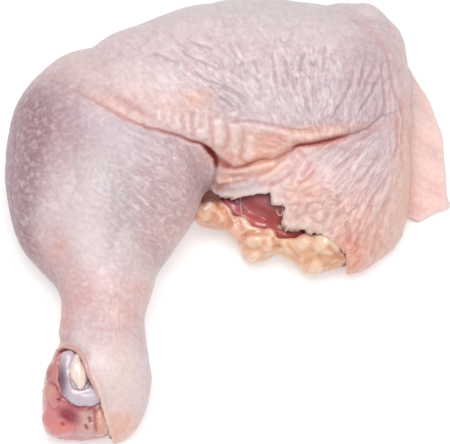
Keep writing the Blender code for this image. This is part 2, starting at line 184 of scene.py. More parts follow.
def beside(line: Array, places: Array) -> Beside:
    """Measure places against a line.

    Args:
        line: the points of the line.
        places: the places to measure.

    Returns:
        The signed distance, positive on the line's left, the share along it, and the unit step
        away from it.
    """
    best = np.full(len(places), math.inf)
    side, share = np.zeros(len(places)), np.zeros(len(places))
    away = np.zeros((len(places), 2))
    for i, (start, end) in enumerate(zip(line, line[1:])):
        step = end - start
        offset = places - start
        t = np.clip(offset @ step / (step @ step), 0, 1)
        gap = offset - t[:, None] * step
        distance = np.linalg.norm(gap, axis=1)
        nearer = distance < best
        best[nearer] = distance[nearer]
        side[nearer] = np.sign(step[0] * offset[:, 1] - step[1] * offset[:, 0])[nearer]
        share[nearer] = ((i + t) / (len(line) - 1))[nearer]
        away[nearer] = (gap / np.maximum(distance, 1e-6)[:, None])[nearer]
    return Beside(best * side, share, away)


def smooth_step(values: Array, low: float, high: float) -> Array:
    """Rise smoothly from 0 at low to 1 at high."""
    t = np.clip((values - low) / (high - low), 0, 1)
    return t * t * (3 - 2 * t)


# How far apart in the noise two seeds lie.
SEED_STEPS = (17.3, 5.1, -9.7)


def ripple(points: Array, seed: float) -> Array:
    """Smooth noise from about -1 to 1 at each point."""
    offset = Vector([seed * step for step in SEED_STEPS])
    return np.array([noise.noise(Vector(p) + offset) for p in points.tolist()])


# Making and changing meshes. Arrays of points are in the leg's own millimetres.


@contextmanager
def editing(target: Thing) -> Iterator[Draft]:
    """Open the mesh as a draft, which is stored when the work on it ends."""
    bm = bmesh.new()
    bm.from_mesh(target.data)
    yield bm
    bm.to_mesh(target.data)
    bm.free()


def new_object(name: str, bm: Draft) -> Thing:
    """Turn a bmesh in millimetres into an object in metres."""
    bmesh.ops.recalc_face_normals(bm, faces=bm.faces)
    bm.transform(Matrix.Scale(MM, 4))
    mesh = bpy.data.meshes.new(name)
    bm.to_mesh(mesh)
    bm.free()
    made = bpy.data.objects.new(name, mesh)
    bpy.context.scene.collection.objects.link(made)
    return made


def applied(target: Thing, kind: str, **settings: object) -> Thing:
    """Give an object one modifier and apply it.

    Args:
        target: the object.
        kind: the modifier's type.
        **settings: the modifier's settings.

    Returns:
        The object.
    """
    modifier = target.modifiers.new(kind.title(), kind)
    for key, value in settings.items():
        setattr(modifier, key, value)
    graph = bpy.context.evaluated_depsgraph_get()
    old = target.data
    target.data = bpy.data.meshes.new_from_object(target.evaluated_get(graph))
    target.modifiers.clear()
    bpy.data.meshes.remove(old)
    return target


def combined(target: Thing, other: Thing, operation: str) -> Thing:
    """Boolean another object with the target, and remove the other."""
    applied(target, "BOOLEAN", operation=operation, object=other, solver="MANIFOLD")
    bpy.data.objects.remove(other, do_unlink=True)
    return target


def points_of(target: Thing) -> tuple[Array, Array]:
    """The object's points in millimetres, and their normals."""
    mesh = target.data
    points = np.empty(len(mesh.vertices) * 3)
    normals = np.empty(len(mesh.vertices) * 3)
    mesh.vertices.foreach_get("co", points)
    mesh.vertices.foreach_get("normal", normals)
    return points.reshape(-1, 3) / MM, normals.reshape(-1, 3)


def seen(target: Thing) -> tuple[Array, Array, Array]:
    """The object's points in millimetres, their normals, and the places where they show."""
    points, normals = points_of(target)
    return points, normals, PLANE.places(points)


def facing(normals: Array) -> Array:
    """How fully each point faces the way that the leaning plane does, from 0 to 1."""
    return np.clip(normals @ PLANE.normal / FULL_FACING, 0, 1)


def set_points(target: Thing, points: Array) -> Thing:
    """Move the object's points."""
    target.data.vertices.foreach_set("co", (points * MM).ravel())
    target.data.update()
    return target


def tree_of(target: Thing) -> BVHTree:
    """The object's surface in millimetres, for finding points on it."""
    points, _ = points_of(target)
    faces = [tuple(face.vertices) for face in target.data.polygons]
    return BVHTree.FromPolygons(points.tolist(), faces)


def solid_copy(node: str, name: str) -> Thing:
    """A merged copy of a solid's mesh, moved to the leg's own origin."""
    bm = bmesh.new()
    bm.from_mesh(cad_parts[node].data)
    bmesh.ops.remove_doubles(bm, verts=bm.verts, dist=1e-6)
    bm.transform(Matrix.Scale(1 / MM, 4))
    bm.transform(Matrix.Translation(-Vector(FRAME_SHIFT)))
    return new_object(name, bm)


def loft(bm: Draft, rings: list) -> None:
    """Bridge closed rings of points, in order, into one capped body."""
    loops = []
    for ring in rings:
        verts = [bm.verts.new(Vector(p)) for p in ring]
        loops.append([bm.edges.new(pair) for pair in zip(verts, verts[1:] + verts[:1])])
    for near, far in zip(loops, loops[1:]):
        bmesh.ops.bridge_loops(bm, edges=near + far)
    for end in (loops[0], loops[-1]):
        bmesh.ops.edgeloop_fill(bm, edges=end)


def ball(bm: Draft, centre: Point, radii: Point) -> None:
    """Add an ellipsoid."""
    place = Matrix.Translation(Vector(centre)) @ Matrix.Diagonal((*radii, 1))
    bmesh.ops.create_icosphere(bm, subdivisions=4, radius=1, matrix=place)


def tube(bm: Draft, stations: list[tuple[Array, float]], sides: int) -> None:
    """Add a round tube.

    Args:
        bm: the draft that it goes into.
        stations: centres and radii along it.
        sides: how many sides it has.
    """
    centres = [Vector(centre) for centre, _ in stations]
    rings = []
    for i, (centre, (_, radius)) in enumerate(zip(centres, stations)):
        along = centres[min(i + 1, len(centres) - 1)] - centres[max(i - 1, 0)]
        aside = along.cross(Vector(PLANE.normal)).normalized()
        above = aside.cross(along).normalized()
        turns = [2 * math.pi * k / sides for k in range(sides)]
        rings.append([centre + (aside * math.cos(a) + above * math.sin(a)) * radius for a in turns])
    loft(bm, rings)


def smoothed(target: Thing, rounds: int) -> Thing:
    """Smooth the whole mesh by this many rounds."""
    return applied(target, "SMOOTH", factor=0.5, iterations=rounds)


def blended(target: Thing, voxel: float, smoothing: int) -> Thing:
    """Melt overlapping bodies into one by voxels, and smooth away the steps."""
    applied(target, "REMESH", mode="VOXEL", voxel_size=voxel * MM)
    return smoothed(target, smoothing)


def prism(outline: Line | list) -> Thing:
    """A cutter that removes what shows inside an outline on the leaning plane."""
    bm = bmesh.new()
    loft(bm, [[PLANE.point(place, depth) for place in outline] for depth in CUTTER_DEPTHS])
    return new_object("cutter", bm)


def below_floor(size: float = 400.0) -> Thing:
    """A cutter that removes all below the floor."""
    bm = bmesh.new()
    bmesh.ops.create_cube(bm, size=size, matrix=Matrix.Translation((0, 0, -size / 2)))
    return new_object("cutter", bm)


def seat(surface: BVHTree, place: Place, depth: float) -> Array:
    """The point this far under the surface that a place on the leaning plane shows."""
    eye = PLANE.normal * PLANE.eye
    ray = Vector(PLANE.point(place) - eye).normalized()
    hit = surface.ray_cast(Vector(eye), ray)[0]
    if hit is None:
        hit = surface.find_nearest(Vector(PLANE.point(place)))[0]
    return np.array(hit + ray * depth)


# Tints, and soft ovals on the leaning plane.


class Tint(Enum):
    """The colours that the skin's base colour leans towards."""

    MAUVE = "mauve"
    LAVENDER = "lavender"
    CREAM = "cream"
    BLUSH = "blush"
    PEACH = "peach"
    AMBER = "amber"
    CRIMSON = "crimson"
    MAROON = "maroon"
    PALE = "pale"
    GREY = "grey"
    SMOKE = "smoke"
    ROSE = "rose"


# How flat an oval is in its middle, and how steep at its edge.
OVAL_EDGE = 1.5


def oval(places: Array, centre: Place, reach: Place, bearing: float = 0.0) -> Array:
    """How much each place belongs to a soft oval.

    Args:
        places: the places to weigh.
        centre: the oval's middle.
        reach: its half sizes along its bearing and across it.
        bearing: the way that it points, in degrees anticlockwise from X.

    Returns:
        Weights from 0 to 1.
    """
    a = math.radians(bearing)
    offset = places - np.array(centre)
    along = (offset[:, 0] * math.cos(a) + offset[:, 1] * math.sin(a)) / reach[0]
    across = (offset[:, 1] * math.cos(a) - offset[:, 0] * math.sin(a)) / reach[1]
    return np.exp(-((along**2 + across**2) ** OVAL_EDGE))


@dataclass(frozen=True)
class Patch:
    """A soft oval on the leaning plane where something is stronger."""

    centre: Place
    reach: Place
    strength: float = 1.0
    bearing: float = 0.0

    def weight(self, places: Array) -> Array:
        """How strong the patch is at each place."""
        return self.strength * oval(places, self.centre, self.reach, self.bearing)


Patches = tuple[Patch, ...]


def ovals(*rows: tuple) -> Patches:
    """One patch from each row: its centre, its reach, and what else it has."""
    return tuple(Patch(*row) for row in rows)


def patched(places: Array, patches: Patches, least: float = 0.0) -> Array:
    """How strong something is at each place, from its patches and its least strength."""
    found = np.full(len(places), least)
    for patch in patches:
        found += patch.weight(places)
    return np.clip(found, 0, 1)


def tinted(places: Array, tints: dict[str, Patches]) -> dict[str, Array]:
    """A mask for each tint, from its patches."""
    return {name: patched(places, patches) for name, patches in tints.items()}


# Relief of the skin.

# How far past its ends a line still shows, and the share of it over which it fades in.
LINE_FADE = (-0.02, 0.22)
# How many widths away a line's groove, its stain and the lip of a fold are still felt.
GROOVE_REACH, STAIN_REACH, LIP_REACH = 4, 3, 2.5


@dataclass(frozen=True)
class Stroke:
    """One groove or roll along a smooth line: height is negative where it is pressed in."""

    corners: Line
    height: float
    width: float
    tint: Tint | None = None
    strength: float = 0.0
    spread: float = 1.2

    def near(self, places: Array, reach: float) -> Array:
        """Which places may lie within reach of the line."""
        corners = np.array(self.corners)
        low, high = corners.min(axis=0) - reach, corners.max(axis=0) + reach
        return np.flatnonzero(np.all((places > low) & (places < high), axis=1))

    def taper(self, share: Array) -> Array:
        """How the line fades in and out at its ends."""
        return smooth_step(np.minimum(share, 1 - share), *LINE_FADE)

    def press(self, places: Array, heights: Array, steps: Array) -> None:
        """Add this stroke's relief.

        Args:
            places: where the points of the skin show.
            heights: how far each point stands out, which is changed.
            steps: how far each point is moved along the plane; not used by a plain stroke.
        """
        chosen = self.near(places, GROOVE_REACH * self.width)
        found = beside(smooth_line(self.corners), places[chosen])
        shape = np.exp(-((found.side / self.width) ** 2))
        heights[chosen] += self.height * shape * self.taper(found.share)

    def stain(self, places: Array) -> tuple[Array, Array]:
        """Which points the stroke tints, and how strongly."""
        reach = self.width * self.spread
        chosen = self.near(places, STAIN_REACH * reach)
        found = beside(smooth_line(self.corners), places[chosen])
        shape = np.exp(-((found.side / reach) ** 2)) * self.taper(found.share)
        return chosen, self.strength * shape


def alike(height: float, width: float, tint: Tint, strength: float, *lines: Line) -> list[Stroke]:
    """Strokes of one kind, one along each line."""
    return [Stroke(line, height, width, tint, strength) for line in lines]


def pressed(strokes: list[Stroke], places: Array) -> tuple[Array, Array]:
    """How far strokes move each point outwards, and along the leaning plane."""
    heights, steps = np.zeros(len(places)), np.zeros((len(places), 2))
    for stroke in strokes:
        stroke.press(places, heights, steps)
    return heights, steps


@dataclass(frozen=True)
class Fold(Stroke):
    """A deep groove whose left side swells into a lip and hangs over it."""

    lip: float = 1.5
    lip_at: float = 2.8
    lip_width: float = 2.0
    pull: float = 1.0
    # Where the lip is pulled over and how wide that reaches, counted in widths of the groove.
    hang_at: float = 1.6
    hang_width: float = 1.3

    def press(self, places: Array, heights: Array, steps: Array) -> None:
        """Add this fold's relief, as for any stroke."""
        chosen = self.near(places, self.lip_at + LIP_REACH * self.lip_width)
        found = beside(smooth_line(self.corners), places[chosen])
        fade = self.taper(found.share)
        valley = self.height * np.exp(-((found.side / self.width) ** 2))
        ridge = self.lip * np.exp(-(((found.side - self.lip_at) / self.lip_width) ** 2))
        heights[chosen] += fade * (valley + ridge)
        past = (found.side - self.width * self.hang_at) / (self.width * self.hang_width)
        hang = self.pull * np.exp(-(past**2)) * (found.side > 0)
        steps[chosen] -= (fade * hang)[:, None] * found.away


@dataclass(frozen=True)
class Flow:
    """The way that wrinkles run: straight along a bearing, or fanned out from a centre."""

    bearing: float = 0.0
    centre: Place | None = None
    # How far from the centre the fanned wrinkles are as far apart as straight ones.
    reach: float = 30.0

    def spread(self, places: Array) -> tuple[Array, Array]:
        """Measure places across the wrinkles and along them.

        Args:
            places: places on the leaning plane.

        Returns:
            Distances across and along, in millimetres.
        """
        a = math.radians(self.bearing)
        offset = places - np.array(self.centre or (0.0, 0.0))
        ahead = offset[:, 0] * math.cos(a) + offset[:, 1] * math.sin(a)
        aside = offset[:, 1] * math.cos(a) - offset[:, 0] * math.sin(a)
        if self.centre is None:
            return aside, ahead
        return self.reach * np.arctan2(aside, ahead), np.hypot(aside, ahead)


@dataclass(frozen=True)
class Wrinkles:
    """A patch of fine wrinkles, rounded between sharp furrows, that follow a flow."""

    centre: Place
    reach: Place
    flow: Flow
    spacing: float
    length: float
    height: float
    seed: float
    # How the rows wander, how round the wrinkles are, and how high they stand over their furrows.
    wander_size: float = 0.35
    wander: float = 0.6
    roundness: float = 0.8
    rise: float = 2.4
    sink: float = 0.6
    # The weight under which a point is left alone.
    faintest: float = 0.02

    def heights(self, points: Array, places: Array) -> Array:
        """How far out each point stands because of these wrinkles."""
        weight = oval(places, self.centre, self.reach)
        chosen = np.flatnonzero(weight > self.faintest)
        across, along = self.flow.spread(places[chosen])
        depth = points[chosen] @ PLANE.normal
        spots = np.stack([across / self.spacing, along / self.length, depth / self.length], axis=1)
        spots[:, 0] += self.wander * ripple(spots * self.wander_size, self.seed + 0.5)
        rounds = np.abs(ripple(spots, self.seed)) ** self.roundness
        result = np.zeros(len(points))
        result[chosen] = weight[chosen] * self.height * (self.rise * rounds - self.sink)
        return result


@dataclass(frozen=True)
class Follicles:
    """Raised dots in staggered rows round an axis, where feathers grew."""

    start: Point
    end: Point
    row: float
    gap: float
    radius: float
    height: float
    jitter: float
    seed: int
    turns: int = 240
    beyond: float = 150.0
    # Below 1, most dots are strong.
    evenness: float = 0.7

    def spots(self, surface: BVHTree) -> list[tuple[Vector, float]]:
        """Find the middle of each dot on a surface.

        Args:
            surface: the surface that the dots lie on.

        Returns:
            The dots' middles, and how strong each dot is.
        """
        draw = random.Random(self.seed)
        start, end = Vector(self.start), Vector(self.end)
        along = (end - start).normalized()
        aside = along.orthogonal().normalized()
        above = along.cross(aside)
        found = []
        for row in range(int((end - start).length / self.row) + 1):
            centre = start + along * row * self.row
            travelled = self.gap * (row % 2) / 2
            last = None
            for turn in range(self.turns):
                angle = 2 * math.pi * turn / self.turns
                out = aside * math.cos(angle) + above * math.sin(angle)
                hit = surface.ray_cast(centre + out * self.beyond, -out)[0]
                if hit and last:
                    travelled += min((hit - last).length, self.gap)
                last = hit
                if hit and travelled > self.gap:
                    travelled -= self.gap
                    stray = Vector(draw.uniform(-self.jitter, self.jitter) for _ in range(3))
                    found.append((hit + stray, draw.random() ** self.evenness))
        return found


# The leg's outer form.


@dataclass(frozen=True)
class LegForm:
    """The smooth outer form of drumstick and thigh, before any folds."""

    # From the knee to the ankle: Y, centre in X, half width, widest height, crest height.
    drumstick: tuple = (
        (50, -38, 5, 15, 20), (44.5, -38, 15.8, 15, 31), (37, -37, 23.4, 16, 38),
        (28, -36.2, 29.4, 16, 42.5), (14, -35.6, 31.8, 16, 45), (2, -36.2, 30.8, 16, 45.5),
        (-8, -37.3, 27.8, 16, 44), (-16, -38.3, 23.6, 15, 41), (-23, -37.8, 18.3, 14, 35),
        (-30, -36.0, 14.6, 13, 30), (-38, -36.4, 12.7, 12, 27), (-47, -36.8, 13.0, 12, 26.5),
        (-54, -37.0, 14.5, 12, 27.5), (-60, -37.6, 16.1, 11, 28), (-66, -38.4, 16.0, 9, 26),
        (-71, -39.3, 15.0, 7, 21), (-75, -40.3, 13.2, 5, 14), (-76.8, -39.6, 8, 4, 8),
    )
    # From the knee to the hip end: X, near edge, far edge, widest height, crest height.
    thigh: tuple = (
        (-51, 25, 38.8, 14, 22), (-45, 16, 44.2, 14, 33), (-36, 7.5, 50, 14, 43),
        (-24, 3.5, 54.6, 14, 47.5), (-10, 2.5, 60.4, 13, 48.5), (5, 3, 64.6, 12, 47),
        (20, 4, 64.2, 12, 46), (32, 6, 62.5, 12, 45), (42, 10, 60.8, 12, 42),
        (50, 13, 57.5, 11, 37), (55.8, 16, 52, 10, 28), (57.8, 23, 45, 9, 17),
    )
    # The lower thigh, under loose skin, set out the same way.
    apron: tuple = (
        (-8, 2, 36, 8, 15), (0, -5, 44, 8, 24), (12, -13, 50, 8, 30), (24, -18.5, 52, 6, 32.5),
        (34, -21, 54, 5, 33.5), (42, -20, 54, 5, 33), (48, -15.6, 53, 5, 31),
        (52.8, -10.9, 52, 6, 28), (55.8, -4.0, 48, 7, 23), (57.1, 5.2, 42, 7, 15),
    )
    # Gathered skin at the back of the hip end: centre, radii.
    gathers: tuple = (
        ((36.5, 53.2, 22.6), (10.0, 10.0, 14.0)),
        ((42.9, 52.8, 23.2), (8.8, 10.0, 14.0)),
        ((49.0, 45.1, 20.5), (7.4, 13.9, 13.8)),
    )
    # How square a cross-section is, where 1 is an ellipse and less is squarer.
    drum_blunt: float = 0.96
    thigh_blunt: float = 0.8
    apron_blunt: float = 0.84
    floor_sink: float = 3.0
    sides: int = 48
    rings: int = 56
    voxel: float = 1.2
    smoothing: int = 11

    def section(self, half_width: float, middle: float, crest: float, blunt: float) -> list[Place]:
        """One closed cross-section.

        Args:
            half_width: half of its width.
            middle: the height of its widest line.
            crest: the height of its top.
            blunt: how square it is.

        Returns:
            Its points as (across, up) pairs.
        """
        points = []
        for i in range(self.sides):
            angle = 2 * math.pi * i / self.sides
            across, up = math.cos(angle), math.sin(angle)
            reach = crest - middle if up > 0 else middle + self.floor_sink
            wide = math.copysign(abs(across) ** blunt, across) * half_width
            points.append((wide, middle + math.copysign(abs(up) ** blunt, up) * reach))
        return points

    def drumstick_rings(self) -> list[list[Point]]:
        """Cross-sections of the drumstick, one behind the other along Y."""
        rings = []
        for i in range(self.rings):
            y, x, half, middle, crest = eased(self.drumstick, i / (self.rings - 1))
            outline = self.section(half, middle, crest, self.drum_blunt)
            rings.append([(x + across, y, up) for across, up in outline])
        return rings

    def thigh_rings(self, stations: tuple, blunt: float) -> list[list[Point]]:
        """Cross-sections of a part of the thigh, side by side along X."""
        rings = []
        for i in range(self.rings):
            x, near, far, middle, crest = eased(stations, i / (self.rings - 1))
            outline = self.section((far - near) / 2, middle, crest, blunt)
            rings.append([(x, (far + near) / 2 + across, up) for across, up in outline])
        return rings

    def build(self) -> Thing:
        """Blend the drumstick, the thigh and the gathers into one body of small faces."""
        bm = bmesh.new()
        loft(bm, self.drumstick_rings())
        loft(bm, self.thigh_rings(self.thigh, self.thigh_blunt))
        loft(bm, self.thigh_rings(self.apron, self.apron_blunt))
        for centre, radii in self.gathers:
            ball(bm, centre, radii)
        body = blended(new_object("leg_skin", bm), self.voxel, self.smoothing)
        return applied(body, "SUBSURF", levels=1, render_levels=1)


@dataclass(frozen=True)
class Flap:
    """The thin loose flap of skin at the hip end, rooted inside the leg."""

    thickness: float = 2.2
    wave: float = 0.7
    waves_per_mm: float = 0.5
    root: Place = (52.0, 23.0)
    steep: float = 5.2
    lift: float = 2.6
    sag: float = 1.35
    # Place along Y, reach in X, height there.
    stations: tuple = (
        (51, 58.0, 9), (45, 62.2, 6), (38, 65.4, 4.6), (29, 68.0, 3.6), (18, 68.6, 3.0),
        (8, 69.0, 2.4), (4.2, 69.6, 1.9), (2.2, 65.0, 1.5), (-0.4, 60.5, 1.2),
    )
    across: int = 26
    along: int = 84
    # From what share of its reach its rim is rounded, how sharply, and how thin it ends.
    rim_from: float = 0.9
    rim_sharp: float = 90.0
    rim_least: float = 0.15
    # Rows of low bumps: distance between rows, between bumps in a row, height.
    bumps: Point = (3.1, 2.7, 0.07)
    # How far the rows and the bumps in them wander, and how fast.
    row_wander: Place = (0.6, 0.4)
    bump_wander: Place = (0.9, 0.7)
    # How much of a bump's height lies in its row alone, in both, and in its place in the row.
    shares: Point = (1.0, 0.6, 0.3)

    def bump(self, x: float, y: float) -> float:
        """How high the bumps stand at a place."""
        row, gap, height = self.bumps
        (stray, rate), (bump_stray, bump_rate) = self.row_wander, self.bump_wander
        across = math.cos(2 * math.pi * y / row + stray * math.sin(x * rate))
        along = math.cos(2 * math.pi * x / gap + bump_stray * math.sin(y * bump_rate))
        rows, both, bumps = self.shares
        return height * (rows * across + both * along * across + bumps * along)

    def build(self) -> Thing:
        """Loft the flap from cross-sections along Y."""
        bm, rings = bmesh.new(), []
        root_x, root_z = self.root
        shares = np.linspace(0, 1, self.across)
        for along_share in np.linspace(0, 1, self.along):
            y, reach, height = eased(self.stations, along_share)
            wave = self.wave * math.sin(self.waves_per_mm * y)
            start = min(root_z, self.steep * height + self.lift)
            half = self.thickness / 2
            upper, lower = [], []
            for t in shares:
                x = root_x + (reach - root_x) * t
                z = height + (start - height) * (1 - t) ** self.sag + wave * t * t
                rim = max(t - self.rim_from, 0) ** 2 * self.rim_sharp
                rounded = half * math.sqrt(max(1 - rim, self.rim_least))
                upper.append((x, y, z + rounded + self.bump(x, y)))
                lower.append((x, y, z - rounded))
            rings.append(upper + lower[::-1])
        loft(bm, rings)
        return new_object("flap", bm)


# The skin's edges, folds, pleats and wrinkles, as places on the leaning plane.

# The torn edge of the skin over the thigh's near side, from the drumstick to the hip end,
# and how the opening closes below it, clear of the drumstick.
TORN_EDGE = (
    (-8.9, 0), (-6.4, 6.7), (-4.3, 7.4), (-2.5, 7.3), (0.8, 7.9), (3.3, 7.6), (6.5, 8.2),
    (10.2, 8.9), (14.4, 9.3), (14.8, 5.8), (18.6, 5.1), (18.3, -0.3), (19.6, -1.4), (22.2, -1.6),
    (26.1, -2.7), (28.3, -2.7), (30.1, -3.9), (32.2, -5.7), (35, -7.6), (37.5, -9),
    (37.8, -11.5), (37.5, -14.3), (37.5, -18.9),
)
BELOW_TEAR = ((37.5, -26), (-18, -26), (-16.5, -14), (-11.6, -6.5))
# Where along it the fat ends and the skin hangs loose.
LOOSE_FROM = 17

# The cut edge of the skin at the ankle, from its outer side to its tip, and beyond the tip.
ANKLE_EDGE = (
    (-62, -38.4), (-53.2, -38.8), (-51.2, -38.8), (-49.4, -38.6), (-47.4, -39.1), (-45.8, -40.4),
    (-44.4, -42.6), (-42.9, -45.6), (-41.3, -48.8), (-39.9, -51.8), (-38.3, -56.7), (-37.2, -60.8),
    (-36.3, -63.9), (-34.7, -67.9), (-33, -75),
)
BEYOND_ANKLE = ((-33, -95), (-70, -95))


def inset(edge: Line, distance: float) -> Line:
    """An edge's line moved onto the skin beside it, which lies on its left."""
    points = np.array(edge)
    along = np.gradient(points, axis=0)
    along /= np.linalg.norm(along, axis=1)[:, None]
    aside = np.stack([-along[:, 1], along[:, 0]], axis=1)
    return tuple(map(tuple, points + aside * distance))


KNEE_FOLD = Fold(
    (
        (-51.1, 43.1), (-45, 40), (-38.8, 36.6), (-32.5, 33.3), (-27, 30.5), (-23.2, 29.1),
        (-20.1, 28.3), (-16.9, 27.5), (-13.8, 26.6), (-10.6, 25.1), (-8.1, 24.5), (-6.2, 23.7),
        (-4.3, 22.1), (-3, 20.5), (-2.5, 18.3), (-2.5, 16.7),
    ),
    height=-0.5, width=0.7, tint=Tint.AMBER, strength=0.4, spread=1.7, lip=0.7, lip_at=2.4,
    lip_width=1.9, pull=0.3,
)

THIGH_FOLD = Fold(
    (
        (-1.7, 17.5), (0.2, 17.1), (2.7, 16.8), (5.9, 17.4), (9, 18.7), (11.5, 19.3),
        (15, 19.4), (17.9, 20.7), (20.4, 22.1), (22.6, 23.7), (26.4, 24.2), (29.8, 24.8),
        (34.4, 25.9), (39.4, 27.3), (44.3, 29.3), (47.7, 32.5),
    ),
    height=-0.3, width=0.7, tint=Tint.AMBER, strength=0.7, spread=1.5, lip=1.1, lip_at=2.4,
    lip_width=1.7, pull=0.3,
)

# The pit where both folds meet, pressed in and painted deep maroon as painted shade.
CORNER_PIT = (
    Stroke(
        ((-7.4, 24), (-5.3, 22.5), (-3.7, 20.8), (-2.8, 18.6), (-2.5, 16.4)),
        -0.6, 0.6, Tint.MAROON, 1.3,
    ),
    Stroke(((-5.6, 22.5), (-4.3, 21.5), (-3.3, 20.1)), -0.3, 0.8, Tint.MAROON, 0.8),
)
# The gap down from it beside the drumstick, and the shadow under the first roll.
CORNER_GAP = (
    Stroke(
        ((-2.5, 18.6), (-2.9, 15.5), (-3.6, 11.8), (-4.5, 9.3), (-5.9, 6.5)),
        -0.8, 0.6, Tint.BLUSH, 0.7,
    ),
    Stroke(((-3.4, 20.1), (-0.9, 18.6), (2.2, 17.1)), -0.4, 1, Tint.CRIMSON, 0.6),
)

